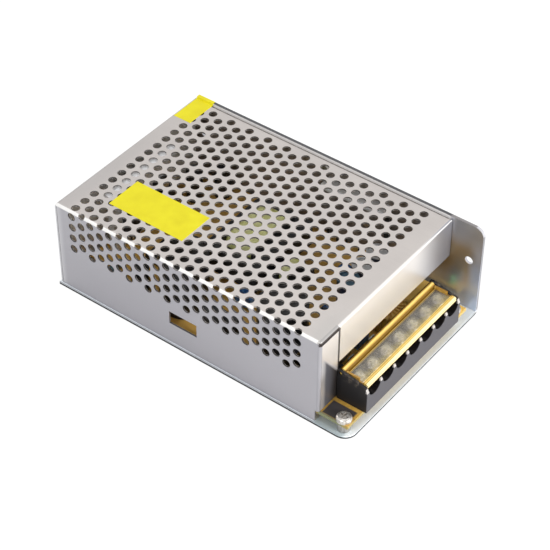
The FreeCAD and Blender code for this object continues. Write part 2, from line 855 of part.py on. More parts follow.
def make_terminal_block():
    """Moulded block: end walls, barriers, one seat, mouth, screw well and pin slot for each way."""
    body = new_body("terminal_block")
    side = sketch(body, "block_side", "XZ_Plane", -block_far)
    outline(side, [(block_rear, board_top), (block_face, board_top), (block_face, d.block_front_corner),
                   (block_face - d.block_front_flat, d.block_front_top),
                   (block_rear + d.block_rear_wall, d.block_top), (block_rear, d.block_top)])
    pad(body, side, block_far - block_near)
    block(body, "flap_room", (block_rear - OVER, block_near + d.barrier_wall, d.barrier_top),
          (block_face + OVER, block_far - d.barrier_wall, d.block_top + OVER), take=True)
    low_y = way_y(0) - way_width / 2
    high_y = way_y(0) + way_width / 2
    seat = block(body, "way_seat", (block_rear + d.block_rear_wall, low_y, d.seat_floor),
                 (plate_front, high_y, d.block_top), take=True)
    curve = way_width / 2
    mouth_centre = d.mouth_floor + curve
    mouth = block(body, "way_mouth", (plate_front, low_y, mouth_centre),
                  (block_face + OVER, high_y, d.block_top), take=True)
    rounded = sketch(body, "way_scallop", "YZ_Plane", block_face + OVER)
    circle(rounded, (way_y(0), mouth_centre), curve)
    scallop = pocket(body, rounded, block_face + OVER - plate_front)
    well = bore(body, "screw_well", (screw_x, way_y(0), d.seat_floor - d.terminal_screw_reach),
                d.terminal_screw_diameter / 2 + d.well_fit, d.terminal_screw_reach)
    reach = d.pin_size / 2 + d.pin_fit
    slot = block(body, "pin_slot", (pin_x - reach, way_y(0) - reach, 0),
                 (pin_x + reach, way_y(0) + reach, d.seat_floor), take=True)
    rows(body, "ways", [seat, mouth, scallop, well, slot], "Y_Axis", d.way_pitch, d.way_count)
    for name, y in (("near", block_near), ("far", block_far - d.barrier_wall)):
        bore(body, f"hinge_hole_{name}", (hinge_x, y - OVER, d.hinge_rise),
             d.hinge_pin / 2 + d.hinge_play, d.barrier_wall + 2 * OVER, "y")
    bore(body, "detent", (block_face - d.detent_setback, block_near - OVER, d.detent_height),
         d.detent_radius, d.barrier_wall + 2 * OVER, "y")


def make_terminal_metal():
    """Contact plates with their pins, clamping washers and screws."""
    plates = []
    washers = []
    screws = []
    for number in range(way_count):
        y = way_y(number)
        hole = d.terminal_screw_diameter / 2 + d.thread_fit
        plate = box(f"plate_{number}_bar", (plate_front - d.plate_length, y - d.plate_width / 2, d.seat_floor),
                    (plate_front, y + d.plate_width / 2, plate_top))
        pin = box(f"plate_{number}_pin", (pin_x - d.pin_size / 2, y - d.pin_size / 2, board_bottom - d.pin_reach),
                  (pin_x + d.pin_size / 2, y + d.pin_size / 2, d.seat_floor))
        drill = rod(f"plate_{number}_drill", (screw_x, y, board_top), hole, d.block_top)
        plates.append(cut(f"plate_{number}", fuse(f"plate_{number}_blank", [plate, pin]), [drill]))
        half = d.washer_side / 2
        square = box(f"washer_{number}_blank", (screw_x - half, y - half, plate_top),
                     (screw_x + half, y + half, washer_top))
        ring = rod(f"washer_{number}_hole", (screw_x, y, board_top), hole + d.screw_fit, d.block_top)
        washers.append(cut(f"washer_{number}", square, [ring]))
        screws.append(pan_screw(f"terminal_screw_{number}", screw_x, y, washer_top, d.terminal_screw_head,
                                d.terminal_screw_head_height, d.terminal_screw_diameter,
                                d.terminal_screw_reach))
    group("terminal_plates", plates)
    group("terminal_washers", washers)
    group("terminal_screws", screws)


def make_terminal_cover():
    """Clear hinged flap: barrel and pins, panel, end ribs and a thick front bar."""
    body = new_body("terminal_cover")
    near = block_near + d.barrier_wall + d.flap_end_gap
    far = block_far - d.barrier_wall - d.flap_end_gap
    panel_top = d.flap_underside + d.flap_thickness
    front = hinge_x + d.flap_reach
    side = sketch(body, "flap_side", "XZ_Plane", -far)
    outline(side, [(hinge_x, d.flap_underside), (front - d.flap_bar_width, d.flap_underside),
                   (front - d.flap_bar_width + d.flap_bar_chamfer, d.flap_bar_bottom),
                   (front, d.flap_bar_bottom), (front, d.flap_bar_top - d.flap_bar_chamfer),
                   (front - d.flap_bar_chamfer, d.flap_bar_top),
                   (front - d.flap_bar_width, d.flap_bar_top), (front - d.flap_bar_width, panel_top),
                   (hinge_x, panel_top)])
    pad(body, side, far - near)
    bore(body, "barrel", (hinge_x, near, d.hinge_rise), d.hinge_barrel / 2, far - near, "y", take=False)
    bore(body, "near_pin", (hinge_x, near - d.hinge_pin_length, d.hinge_rise), d.hinge_pin / 2,
         d.hinge_pin_length, "y", take=False)
    bore(body, "far_pin", (hinge_x, far, d.hinge_rise), d.hinge_pin / 2, d.hinge_pin_length, "y", take=False)
    for name, y in (("near_rib", near), ("far_rib", far - d.flap_rib_thickness)):
        block(body, name, (hinge_x + d.hinge_barrel / 2, y, panel_top),
              (hinge_x + d.hinge_barrel / 2 + d.flap_rib_length, y + d.flap_rib_thickness, d.flap_rib_top))


def make_trimmer():
    """Output voltage trimmer: a square body and the slotted rotor that turns in it."""
    face = d.trimmer_x + d.trimmer_depth / 2
    low = (d.trimmer_x - d.trimmer_depth / 2, d.trimmer_y - d.trimmer_side / 2, board_top)
    high = (face, d.trimmer_y + d.trimmer_side / 2, board_top + d.trimmer_side)
    middle = board_top + d.trimmer_side / 2
    recess = rod("trimmer_recess", (face - d.rotor_depth, d.trimmer_y, middle),
                 d.rotor_radius + d.rotor_gap, d.trimmer_depth, "x")
    pivot = rod("trimmer_pivot_hole", (d.trimmer_x, d.trimmer_y, middle),
                d.rotor_pivot / 2 + d.hinge_play, d.trimmer_depth, "x")
    node(cut("trimmer_cut", box("trimmer_blank", low, high), [recess, pivot]), "trimmer_body")
    start = face - d.rotor_depth + d.rotor_gap
    disc = rod("rotor_disc", (start, d.trimmer_y, middle), d.rotor_radius, d.rotor_depth, "x")
    stem = rod("rotor_stem", (start - d.rotor_depth, d.trimmer_y, middle), d.rotor_pivot / 2,
               d.rotor_depth, "x")
    top = start + d.rotor_depth
    slot = box("rotor_slot", (top - d.rotor_slot_depth, d.trimmer_y - d.rotor_radius, middle - d.rotor_slot / 2),
               (top, d.trimmer_y + d.rotor_radius, middle + d.rotor_slot / 2))
    node(cut("rotor_cut", fuse("rotor_blank", [disc, stem]), [slot]), "trimmer_rotor")


def make_lamp():
    """Status lamp: a round body with a collar and a domed top, on two legs."""
    x, y = d.lamp_x, d.lamp_y
    foot = board_top + d.lamp_lift
    collar = rod("lamp_collar", (x, y, foot), d.lamp_radius + d.lamp_collar, d.lamp_collar_height)
    stem = rod("lamp_stem", (x, y, foot), d.lamp_radius, d.lamp_height)
    dome = doc.addObject("Part::Sphere", "lamp_dome")
    bind(dome, Radius=d.lamp_radius)
    move(dome, x, y, foot + d.lamp_height)
    legs = leads("lamp", x, y, board_top, foot, 2, "x")
    node(fuse("lamp", [collar, stem, dome] + legs), "status_lamp")


def leads(name, x, y, low, high, count, axis, pitch=None):
    """Flat leads in a row, centred on a point."""
    step = pitch if pitch is not None else d.lead_pitch
    found = []
    for number in range(count):
        shift = (number - (count - 1) / 2) * step
        cx, cy = (x + shift, y) if axis == "x" else (x, y + shift)
        wide, thin = d.lead_width / 2, d.lead_thickness / 2
        u, v = (wide, thin) if axis == "x" else (thin, wide)
        found.append(box(f"{name}_lead_{number}", (cx - u, cy - v, low), (cx + u, cy + v, high)))
    return found


# Wound parts

def make_transformer(label, x, y, length, width, height, back, coil_height):
    """Two E-shaped core halves round a former that carries one taped coil."""
    middle = board_top + d.winding_lift + coil_height / 2
    z0 = middle - height / 2
    z1 = middle + height / 2
    leg = back * d.core_leg_share
    post = width * d.core_post_share
    coil_y = width / 2 - leg - d.coil_gap
    coil_x = length / 2 - back - d.former_wall
    halves = []
    for side, name in ((-1, "near"), (1, "far")):
        end = x + side * length / 2
        inner = x + side * (length / 2 - back)
        a, b = (end, inner) if side < 0 else (inner, end)
        spine = box(f"{label}_{name}_back", (a, y - width / 2, z0), (b, y + width / 2, z1))
        p, q = (inner, x) if side < 0 else (x, inner)
        bars = [box(f"{label}_{name}_leg_{i}", (p, y + lo, z0), (q, y + hi, z1))
                for i, (lo, hi) in enumerate(((-width / 2, -width / 2 + leg), (-post, post),
                                              (width / 2 - leg, width / 2)))]
        halves.append(fuse(f"{label}_{name}_half", [spine] + bars))
    group(label + "_core", halves)
    wall = d.former_wall
    tube = box(f"{label}_tube_outer", (x - length / 2 + back, y - post - wall, z0 - wall),
               (x + length / 2 - back, y + post + wall, z1 + wall))
    cheeks = [box(f"{label}_cheek_{i}", (lo, y - coil_y, board_top), (lo + wall, y + coil_y, board_top + d.winding_lift
                  + coil_height)) for i, lo in enumerate((x - length / 2 + back, x + length / 2 - back - wall))]
    bore_box = box(f"{label}_tube_bore", (x - length, y - post, z0), (x + length, y + post, z1))
    former = cut(f"{label}_former_cut", fuse(f"{label}_former_blank", [tube] + cheeks), [bore_box])
    node(former, label + "_former")
    coil = doc.addObject("Part::Fillet", f"{label}_coil_round")
    coil.Base = box(f"{label}_coil_blank", (x - coil_x, y - coil_y, middle - coil_height / 2),
                    (x + coil_x, y + coil_y, middle + coil_height / 2))
    doc.recompute()
    soft = d.coil_round.value
    coil.Edges = [(i, soft, soft) for i, edge in enumerate(coil.Base.Shape.Edges, start=1)
                  if abs(abs(edge.Curve.Direction.x) - 1) < 1e-6]
    window = box(f"{label}_coil_bore", (x - length, y - post - wall, z0 - wall),
                 (x + length, y + post + wall, z1 + wall))
    node(cut(f"{label}_coil_cut", coil, [window]), label + "_winding")


def make_output_choke():
    """A ring core lying flat, wound with heavy wire."""
    outer = d.choke_outer / 2
    inner = d.choke_inner / 2
    wire = d.choke_wire
    gap = d.thread_fit
    z0 = board_top + wire + gap
    z1 = z0 + d.choke_thickness
    ring = rod("choke_ring", (d.choke_x, d.choke_y, z0), outer, d.choke_thickness)
    eye = rod("choke_eye", (d.choke_x, d.choke_y, z0), inner, d.choke_thickness)
    node(cut("choke_core_cut", ring, [eye]), "output_choke_core")
    turns = []
    count = int(d.choke_turns.value)
    for number in range(count):
        loop = doc.addObject("Part::Cut", f"choke_turn_{number}")
        loop.Base = box(f"choke_turn_outer_{number}", (inner - wire - gap, -wire / 2, z0 - wire - gap),
                        (outer + wire + gap, wire / 2, z1 + wire + gap))
        loop.Tool = box(f"choke_turn_inner_{number}", (inner - gap, -wire, z0 - gap),
                        (outer + gap, wire, z1 + gap))
        angle = 360.0 * number / count
        loop.Placement = FreeCAD.Placement(FreeCAD.Vector(), FreeCAD.Rotation(FreeCAD.Vector(0, 0, 1), angle))
        loop.setExpression("Placement.Base.x", d.choke_x.text)
        loop.setExpression("Placement.Base.y", d.choke_y.text)
        turns.append(loop)
    group("output_choke_winding", turns)


def make_filter_choke():
    """Mains filter choke: a square core standing up, with one winding on each upright."""
    x, y = d.filter_x, d.filter_y
    bar = d.filter_bar
    w, l, h = d.filter_width / 2, d.filter_length / 2, d.filter_height
    z0 = board_top + d.winding_lift
    frame = box("filter_frame", (x - bar / 2, y - l, z0 + bar / 2), (x + bar / 2, y + l, z0 + h))
    eye = box("filter_eye", (x - bar, y - l + bar, z0 + bar * 1.5), (x + bar, y + l - bar, z0 + h - bar))
    node(cut("filter_core_cut", frame, [eye]), "filter_choke_core")
    coils = []
    for side in (-1, 1):
        centre = y + side * (l - bar / 2)
        low_y, high_y = centre - bar / 2 - d.coil_build, centre + bar / 2 + d.coil_build
        outer = box(f"filter_coil_outer_{side + 1}", (x - w, low_y, z0 + bar * 1.5 + d.coil_gap),
                    (x + w, high_y, z0 + h - bar - d.coil_gap))
        hole = box(f"filter_coil_hole_{side + 1}", (x - bar / 2, centre - bar / 2, board_top),
                   (x + bar / 2, centre + bar / 2, d.cover_top))
        coils.append(cut(f"filter_coil_{side + 1}", outer, [hole]))
    group("filter_choke_windings", coils)
    foot = box("filter_foot", (x - w, y - l, board_top), (x + w, y + l, z0 + bar / 2))
    node(foot, "filter_choke_base")


# Capacitors and other small parts

def can(name, x, y, diameter, height):
    """A round can with a crimped groove near its foot and a sunk top."""
    depth = diameter * d.groove_share
    width = height * d.groove_width_share
    low = board_top + height * d.groove_rise_share
    blank = rod(name + "_blank", (x, y, board_top), diameter / 2, height)
    collar = rod(name + "_groove_outer", (x, y, low), diameter / 2 + OVER, width)
    core = rod(name + "_groove_inner", (x, y, low), diameter / 2 - depth, width)
    crimp = cut(name + "_crimp", collar, [core])
    dish = rod(name + "_dish", (x, y, board_top + height - d.can_dish), diameter / 2 - d.can_rim, d.can_dish)
    return cut(name + "_turned", blank, [crimp, dish])


def make_capacitors():
    spots = [(d.input_cap_1_x, d.input_cap_y), (d.input_cap_2_x, d.input_cap_y)]
    group("input_capacitors", [can(f"input_cap_{i}", x, y, d.input_cap_diameter, d.input_cap_height)
                               for i, (x, y) in enumerate(spots)])
    group("output_capacitors", [can(f"output_cap_{i}", d.output_cap_x, d.output_cap_y + i * d.output_cap_pitch,
                                    d.output_cap_diameter, d.output_cap_height) for i in range(3)])
    group("control_capacitors", [can(f"control_cap_{i}", x, y, d.control_cap_diameter, d.control_cap_height)
                                 for i, (x, y) in enumerate(CONTROL_CAPS)])
    discs = []
    for number, (x, y) in enumerate(DISC_CAPS):
        middle = board_top + d.disc_lift + d.disc_diameter / 2
        disc = rod(f"disc_{number}_body", (x, y - d.disc_thickness / 2, middle), d.disc_diameter / 2,
                   d.disc_thickness, "y")
        legs = leads(f"disc_{number}", as_size(x), as_size(y), board_top, middle, 2, "x", 2 * d.lead_pitch)
        discs.append(fuse(f"disc_{number}", [disc] + legs))
    group("disc_capacitors", discs)
    x, y = d.film_x, d.film_y
    node(box("film_blank", (x - d.film_width / 2, y - d.film_length / 2, board_top),
             (x + d.film_width / 2, y + d.film_length / 2, board_top + d.film_height)), "film_capacitor")


def make_small_parts():
    """Fuse and clips, surge disc, bridge, control chip, resistors."""
    x, y = d.fuse_x, d.fuse_y
    z = board_top + d.fuse_lift + d.fuse_diameter / 2
    radius = d.fuse_diameter / 2
    tube = rod("fuse_tube", (x, y - d.fuse_length / 2, z), radius - d.fuse_glass_inset, d.fuse_length, "y")
    caps = [rod(f"fuse_cap_{i}", (x, start, z), radius, d.fuse_cap, "y")
            for i, start in enumerate((y - d.fuse_length / 2, y + d.fuse_length / 2 - d.fuse_cap))]
    node(fuse("fuse_joined", [tube] + caps), "fuse")
    clips = []
    for number, start in enumerate((y - d.fuse_length / 2, y + d.fuse_length / 2 - d.fuse_cap)):
        wall = d.lead_thickness
        outer = box(f"clip_{number}_outer", (x - radius - wall, start + d.clip_inset, board_top),
                    (x + radius + wall, start + d.fuse_cap - d.clip_inset, z + radius * d.clip_rise_share))
        inner = box(f"clip_{number}_inner", (x - radius, start, board_top + wall),
                    (x + radius, start + d.fuse_cap, z + radius))
        clips.append(cut(f"clip_{number}", outer, [inner]))
    group("fuse_clips", clips)
    surge_z = board_top + d.disc_lift + d.surge_diameter / 2
    surge = rod("surge_body", (d.surge_x - d.disc_thickness / 2, d.surge_y, surge_z), d.surge_diameter / 2,
                d.disc_thickness, "x")
    legs = leads("surge", d.surge_x, d.surge_y, board_top, surge_z, 2, "y", 2 * d.lead_pitch)
    node(fuse("surge_joined", [surge] + legs), "surge_limiter")
    x, y = d.bridge_x, d.bridge_y
    foot = board_top + d.disc_lift
    slab = box("bridge_slab", (x - d.bridge_width / 2, y - d.bridge_thickness / 2, foot),
               (x + d.bridge_width / 2, y + d.bridge_thickness / 2, foot + d.bridge_height))
    pins = leads("bridge", x, y, board_top, foot, 4, "x", 2 * d.lead_pitch)
    node(fuse("bridge_joined", [slab] + pins), "bridge_rectifier")
    x, y = d.chip_x, d.chip_y
    chip = box("chip_slab", (x - d.chip_width / 2, y - d.chip_length / 2, board_top + d.chip_lift),
               (x + d.chip_width / 2, y + d.chip_length / 2, board_top + d.chip_lift + d.chip_height))
    rows_of_pins = []
    for side in (-1, 1):
        edge = x + side * (d.chip_width / 2 + d.lead_thickness / 2)
        rows_of_pins += leads(f"chip_{side + 1}", edge, y, board_top,
                              board_top + d.chip_lift + d.chip_height / 2, 8, "y")
    node(fuse("chip_joined", [chip] + rows_of_pins), "control_chip")
    bodies = []
    for number, (x, y) in enumerate(RESISTORS):
        z = board_top + d.resistor_diameter / 2
        tube = rod(f"resistor_{number}_body", (x, y - d.resistor_length / 2, z), d.resistor_diameter / 2,
                   d.resistor_length, "y")
        end = d.resistor_length / 2 + d.resistor_reach
        thick = d.lead_thickness
        ends = [box(f"resistor_{number}_leg_{i}", (x - thick / 2, start, board_top), (x + thick / 2, start + thick, z))
                for i, start in enumerate((y - end, y + end - thick))]
        wire = rod(f"resistor_{number}_wire", (x, y - end, z), thick / 2, 2 * end, "y")
        bodies.append(fuse(f"resistor_{number}", [tube, wire] + ends))
    group("power_resistors", bodies)


# Power devices and the metal that cools them

def make_rectifiers():
    """Two output rectifiers held against the chassis wall by a folded bracket."""
    pad_face = wall_inner - d.pad_thickness
    front = pad_face - d.rectifier_thickness
    top = d.rectifier_foot + d.rectifier_height
    bodies = []
    pads = []
    screws = []
    for number, x in enumerate(rectifier_places):
        half = d.rectifier_width / 2
        slab = box(f"rectifier_{number}_slab", (x - half, front, d.rectifier_foot), (x + half, pad_face, top))
        legs = leads(f"rectifier_{number}", x, board_far - d.lead_inset, board_top, d.rectifier_foot + d.lead_overlap, 3,
                     "x", 2 * d.lead_pitch)
        hole = rod(f"rectifier_{number}_hole", (x, front - OVER, rectifier_hole_z),
                   case_screw_radius + d.screw_fit, d.rectifier_thickness + 2 * OVER, "y")
        bodies.append(cut(f"rectifier_{number}", fuse(f"rectifier_{number}_blank", [slab] + legs), [hole]))
        mica = box(f"pad_{number}_blank", (x - half, pad_face, d.rectifier_foot - d.pad_margin),
                   (x + half, wall_inner, top + d.pad_margin))
        mica_hole = rod(f"pad_{number}_hole", (x, front, rectifier_hole_z), case_screw_radius + d.screw_fit,
                        d.rectifier_thickness + 2 * OVER, "y")
        pads.append(cut(f"pad_{number}", mica, [mica_hole]))
        screws.append(sunk_screw(f"rectifier_screw_{number}", x, half_width, rectifier_hole_z,
                                 half_width - front + d.bracket_sheet, "y"))
    group("output_rectifiers", bodies)
    group("insulating_pads", pads)
    group("rectifier_screws", screws)
    body = new_body("rectifier_bracket")
    side = sketch(body, "bracket_side", "YZ_Plane", d.rectifier_x - d.bracket_length / 2)
    sheet_thick = d.bracket_sheet
    outline(side, [(front - sheet_thick, d.bracket_foot), (front, d.bracket_foot),
                   (front, d.bracket_top - sheet_thick), (wall_inner, d.bracket_top - sheet_thick),
                   (wall_inner, d.bracket_top), (front - sheet_thick, d.bracket_top)])
    bent = pad(body, side, d.bracket_length)
    rounding(body, "bracket_fold", bent, edges_at(bent, "x", y=front - sheet_thick, z=d.bracket_top),
             d.bracket_bend)
    for number, x in enumerate(rectifier_places):
        bore(body, f"bracket_thread_{number}", (x, front - sheet_thick - OVER, rectifier_hole_z),
             case_screw_radius + d.thread_fit, sheet_thick + 2 * OVER, "y")


def make_switches():
    """Two switching transistors screwed to an upright aluminium plate at the closed end."""
    face = d.sink_x + d.sink_sheet
    body = new_body("switch_heatsink")
    plan = sketch(body, "sink_plan", "XY_Plane", board_top)
    half = d.sink_length / 2
    outline(plan, [(d.sink_x, d.sink_y - half), (face, d.sink_y - half),
                   (face, d.sink_y + half), (d.sink_x, d.sink_y + half)])
    pad(body, plan, d.sink_top - board_top)
    hole_z = d.switch_foot + d.switch_height - d.switch_hole_drop
    bodies = []
    screws = []
    for number, side in enumerate((-1, 1)):
        y = d.sink_y + side * d.switch_pitch / 2
        bore(body, f"sink_thread_{number}", (d.sink_x - OVER, y, hole_z), case_screw_radius + d.thread_fit,
             d.sink_sheet + 2 * OVER, "x")
        wide = d.switch_width / 2
        slab = box(f"switch_{number}_slab", (face, y - wide, d.switch_foot),
                   (face + d.switch_thickness, y + wide, d.switch_foot + d.switch_body_height))
        tab = box(f"switch_{number}_tab", (face, y - wide, d.switch_foot),
                  (face + d.tab_thickness, y + wide, d.switch_foot + d.switch_height))
        legs = leads(f"switch_{number}", face + d.switch_thickness / 2, y, board_top,
                     d.switch_foot + d.lead_overlap, 3, "y")
        hole = rod(f"switch_{number}_hole", (face - OVER, y, hole_z), case_screw_radius + d.screw_fit,
                   d.switch_thickness + OVER, "x")
        bodies.append(cut(f"switch_{number}", fuse(f"switch_{number}_blank", [slab, tab] + legs), [hole]))
        head = rod(f"switch_screw_{number}_head", (face + d.tab_thickness, y, hole_z), d.case_screw_head / 2,
                   d.switch_screw_head_height, "x")
        stem = rod(f"switch_screw_{number}_stem", (d.sink_x - d.switch_screw_tip, y, hole_z), case_screw_radius,
                   d.switch_screw_tip + d.sink_sheet + d.tab_thickness, "x")
        screws.append(fuse(f"switch_screw_{number}", [head, stem]))
    group("switching_transistors", bodies)
    group("switch_screws", screws)


# Stickers

def make_stickers():
    low = (cover_end + d.label_start, cover_side + d.label_side, d.cover_top)
    high = (cover_end + d.label_start + d.label_length, cover_side + d.label_side + d.label_width,
            d.cover_top + d.sticker)
    node(box("label_blank", low, high), "cover_label")
    body = new_body("seal_label")
    side = sketch(body, "seal_side", "YZ_Plane", cover_end + d.seal_start)
    film = d.sticker
    outline(side, [(half_width - d.seal_reach, d.cover_top), (cover_far, d.cover_top),
                   (wall_inner, d.wall_height), (half_width, d.wall_height),
                   (half_width, d.wall_height - d.seal_drop), (half_width + film, d.wall_height - d.seal_drop),
                   (half_width + film, d.wall_height + film), (wall_inner - film, d.wall_height + film),
                   (cover_far - film, d.cover_top + film), (half_width - d.seal_reach, d.cover_top + film)])
    pad(body, side, d.seal_width)


def check_and_write():
    doc.recompute()
    faults = [thing.Name for thing in doc.Objects
              if any(word in thing.State for word in ("Invalid", "Error"))]
    if faults:
        raise RuntimeError("failed objects: " + ", ".join(faults))
    os.makedirs("parts", exist_ok=True)
    shapes = {thing.Label: thing.Shape for thing in nodes}
    for label, shape in shapes.items():
        if shape.isNull() or not shape.isValid() or not shape.Solids:
            raise RuntimeError(f"{label} has no valid solid")
    for label, shape in shapes.items():
        shape.exportStep(f"parts/{label}.step")
        extent = shape.BoundBox
        print(f"{label}: {len(shape.Solids)} solids, "
              f"{extent.XLength:.1f} x {extent.YLength:.1f} x {extent.ZLength:.1f} mm")


make_chassis()
make_cover()
make_case_screws()
make_board()
make_insulating_sheet()
make_standoffs()
make_terminal_block()
make_terminal_metal()
make_terminal_cover()
make_trimmer()
make_lamp()
make_transformer("main_transformer", d.transformer_x, d.transformer_y, d.core_length, d.core_width,
                 d.core_thickness, d.core_back, d.winding_height)
make_transformer("small_transformer", d.small_core_x, d.small_core_y, d.small_core_length,
                 d.small_core_width, d.small_core_thickness, d.small_core_back, d.small_winding_height)
make_output_choke()
make_filter_choke()
make_capacitors()
make_small_parts()
make_rectifiers()
make_switches()
make_stickers()
check_and_write()
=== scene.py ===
import json
import math

import bmesh
import bpy
from mathutils import Matrix, Vector


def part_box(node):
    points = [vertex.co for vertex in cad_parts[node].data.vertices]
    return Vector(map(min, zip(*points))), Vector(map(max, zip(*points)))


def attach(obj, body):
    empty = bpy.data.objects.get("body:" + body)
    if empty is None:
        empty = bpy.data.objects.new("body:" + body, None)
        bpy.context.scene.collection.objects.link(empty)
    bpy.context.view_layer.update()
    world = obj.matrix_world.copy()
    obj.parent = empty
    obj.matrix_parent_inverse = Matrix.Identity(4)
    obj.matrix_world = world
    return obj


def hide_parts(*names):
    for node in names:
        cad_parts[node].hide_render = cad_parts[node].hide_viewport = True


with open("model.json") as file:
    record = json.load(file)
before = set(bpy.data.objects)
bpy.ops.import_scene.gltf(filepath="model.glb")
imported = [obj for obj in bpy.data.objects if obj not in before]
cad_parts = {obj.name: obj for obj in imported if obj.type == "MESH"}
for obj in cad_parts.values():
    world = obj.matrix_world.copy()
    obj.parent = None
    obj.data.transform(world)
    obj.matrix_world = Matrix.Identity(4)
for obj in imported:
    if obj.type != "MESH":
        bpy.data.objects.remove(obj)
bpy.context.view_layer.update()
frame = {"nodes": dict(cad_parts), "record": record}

MM = 0.001
PER_MM = 1 / MM
CASE = "case"

# Where the faces of the case's two sheets lie, in millimetres
COVER_TOP = 47.1
COVER_NEAR = -48.4
COVER_CLOSED = -78.0
LIP_FACE = 63.5
LIP_START = -35.5
WALL_INSIDE = 47.5
WALL_CREST = 48.0
BASE_NEAR = -49.0
BASE_FRONT = 79.0
BASE_CORNER = 6.0

# The middle of the terminal block's first way and the step to the next, in millimetres
FIRST_WAY = -30.9
WAY_PITCH = 9.7


# Surface finishes

class Value:
    """Something that varies over a surface. Arithmetic on it adds Math nodes."""

    def __init__(self, finish, socket):
        self.finish = finish
        self.socket = socket

    def maths(self, operation, first, second):
        return self.finish.node("ShaderNodeMath", {"operation": operation}, {0: first, 1: second})

    def __add__(self, other):
        return self.maths("ADD", self, other)

    def __sub__(self, other):
        return self.maths("SUBTRACT", self, other)

    def __rsub__(self, other):
        return self.maths("SUBTRACT", other, self)

    def __mul__(self, other):
        return self.maths("MULTIPLY", self, other)

    __radd__ = __add__
    __rmul__ = __mul__

    def larger(self, other):
        return self.maths("MAXIMUM", self, other)

    def back_and_forth(self, span):
        """Climbs from 0 to the span and falls again, over and over."""
        return self.maths("PINGPONG", self, span)

    def rise(self, low, high):
        """0 below low, 1 above high, smooth between."""
        return self.finish.node("ShaderNodeMapRange", {"interpolation_type": "SMOOTHSTEP"},
                                {0: self, 1: low, 2: high, 3: 0.0, 4: 1.0})

    def fall(self, low, high):
        """1 below low, 0 above high, smooth between."""
        return 1 - self.rise(low, high)

    def band(self, low, high, soft):
        """1 between two limits, with soft ends."""
        return self.rise(low - soft, low + soft) * self.fall(high - soft, high + soft)


class Finish:
    """A material under construction."""

    def __init__(self, name, tree=None):
        if tree is None:
            self.material = bpy.data.materials.new(name)
            self.material.use_nodes = True
            tree = self.material.node_tree
        self.tree = tree
        tree.nodes.clear()

    def node(self, kind, settings=None, inputs=None, out=0):
        """A node with its settings and the values or links of its sockets."""
        made = self.tree.nodes.new(kind)
        for key, value in (settings or {}).items():
            if key == "stops":
                self.set_stops(made.color_ramp, value)
            else:
                setattr(made, key, value)
        for key, value in (inputs or {}).items():
            self.join(value, made.inputs[key])
        return Value(self, made.outputs[out]) if made.outputs else made

    def set_stops(self, ramp, stops):
        while len(ramp.elements) < len(stops):
            ramp.elements.new(1.0)
        for element, (position, colour) in zip(ramp.elements, stops):
            element.position = position
            element.color = (*colour, 1.0)

    def join(self, value, socket):
        if isinstance(value, Value):
            self.tree.links.new(value.socket, socket)
        elif socket.type == "RGBA" and len(value) == 3:
            socket.default_value = (*value, 1.0)
        else:
            socket.default_value = value

    def place(self, stretch, turn):
        where = self.node("ShaderNodeTexCoord", out="Object")
        return self.node("ShaderNodeMapping", {}, {
            "Vector": where, "Scale": stretch, "Rotation": turn})

    def axes(self, names="XYZ"):
        """The named coordinates in millimetres."""
        where = self.node("ShaderNodeTexCoord", out="Object")
        split = self.node("ShaderNodeSeparateXYZ", {}, {0: where}).socket.node
        return [Value(self, split.outputs[name]) * PER_MM for name in names]

    def noise(self, size, detail=2.0, stretch=(1, 1, 1), rough=0.5, turn=(0, 0, 0)):
        """Cloudy variation from 0 to 1 with patches about size millimetres wide."""
        return self.node("ShaderNodeTexNoise", {}, {
            "Vector": self.place(stretch, turn), "Scale": PER_MM / size, "Detail": detail,
            "Roughness": rough})

    def ramp(self, factor, *stops):
        return self.node("ShaderNodeValToRGB", {"stops": stops}, {0: factor})

    def mix(self, first, second, factor):
        """A colour between two others."""
        return self.node("ShaderNodeMix", {"data_type": "RGBA"},
                         {0: factor, 6: first, 7: second}, out=2)

    def paint(self, colour, *coats):
        """Coats over a colour, in order: each is a tint and how much it covers, from 0 to 1."""
        for tint, cover in coats:
            colour = self.mix(colour, tint, cover)
        return colour

    def bump(self, height, strength, distance):
        """Relief after a height, with the distance in millimetres."""
        return self.node("ShaderNodeBump", {}, {
            "Height": height, "Strength": strength, "Distance": distance * MM})

    def surface(self, **sockets):
        """The shader, with its sockets named in snake case."""
        names = {"specular_ior_level": "Specular IOR Level"}
        inputs = {names.get(key, key.replace("_", " ").title()): value
                  for key, value in sockets.items()}
        self.close(self.node("ShaderNodeBsdfPrincipled", {}, inputs))
        return self.material

    def close(self, shader, kind="ShaderNodeOutputMaterial"):
        self.node(kind, {}, {0: shader})


def scaled(colour, share):
    return [channel * share for channel in colour]


# Folded sheets

def sheet_tone(f, light, dark):
    """Rolled sheet metal: fine drawn grain, faint clouding and small scuffs."""
    grain = f.noise(0.35, 3.0, stretch=(0.03, 1.0, 1.0), rough=0.6)
    cloud = f.noise(22.0)
    scuff = f.noise(2.6, 4.0, stretch=(0.5, 1.0, 1.0), rough=0.6, turn=(0.3, 0.2, 0.5))
    scuff = scuff.rise(0.62, 0.85)
    tone = (grain * 0.30 + cloud * 0.70).rise(0.20, 0.80)
    colour = f.paint(f.mix(dark, light, tone), (scaled(dark, 0.92), scuff * 0.12))
    rough = 0.26 + grain * 0.08 + scuff * 0.06
    return colour, rough, f.bump(grain * 0.7 + f.noise(0.12) * 0.3, strength=0.07, distance=0.02)


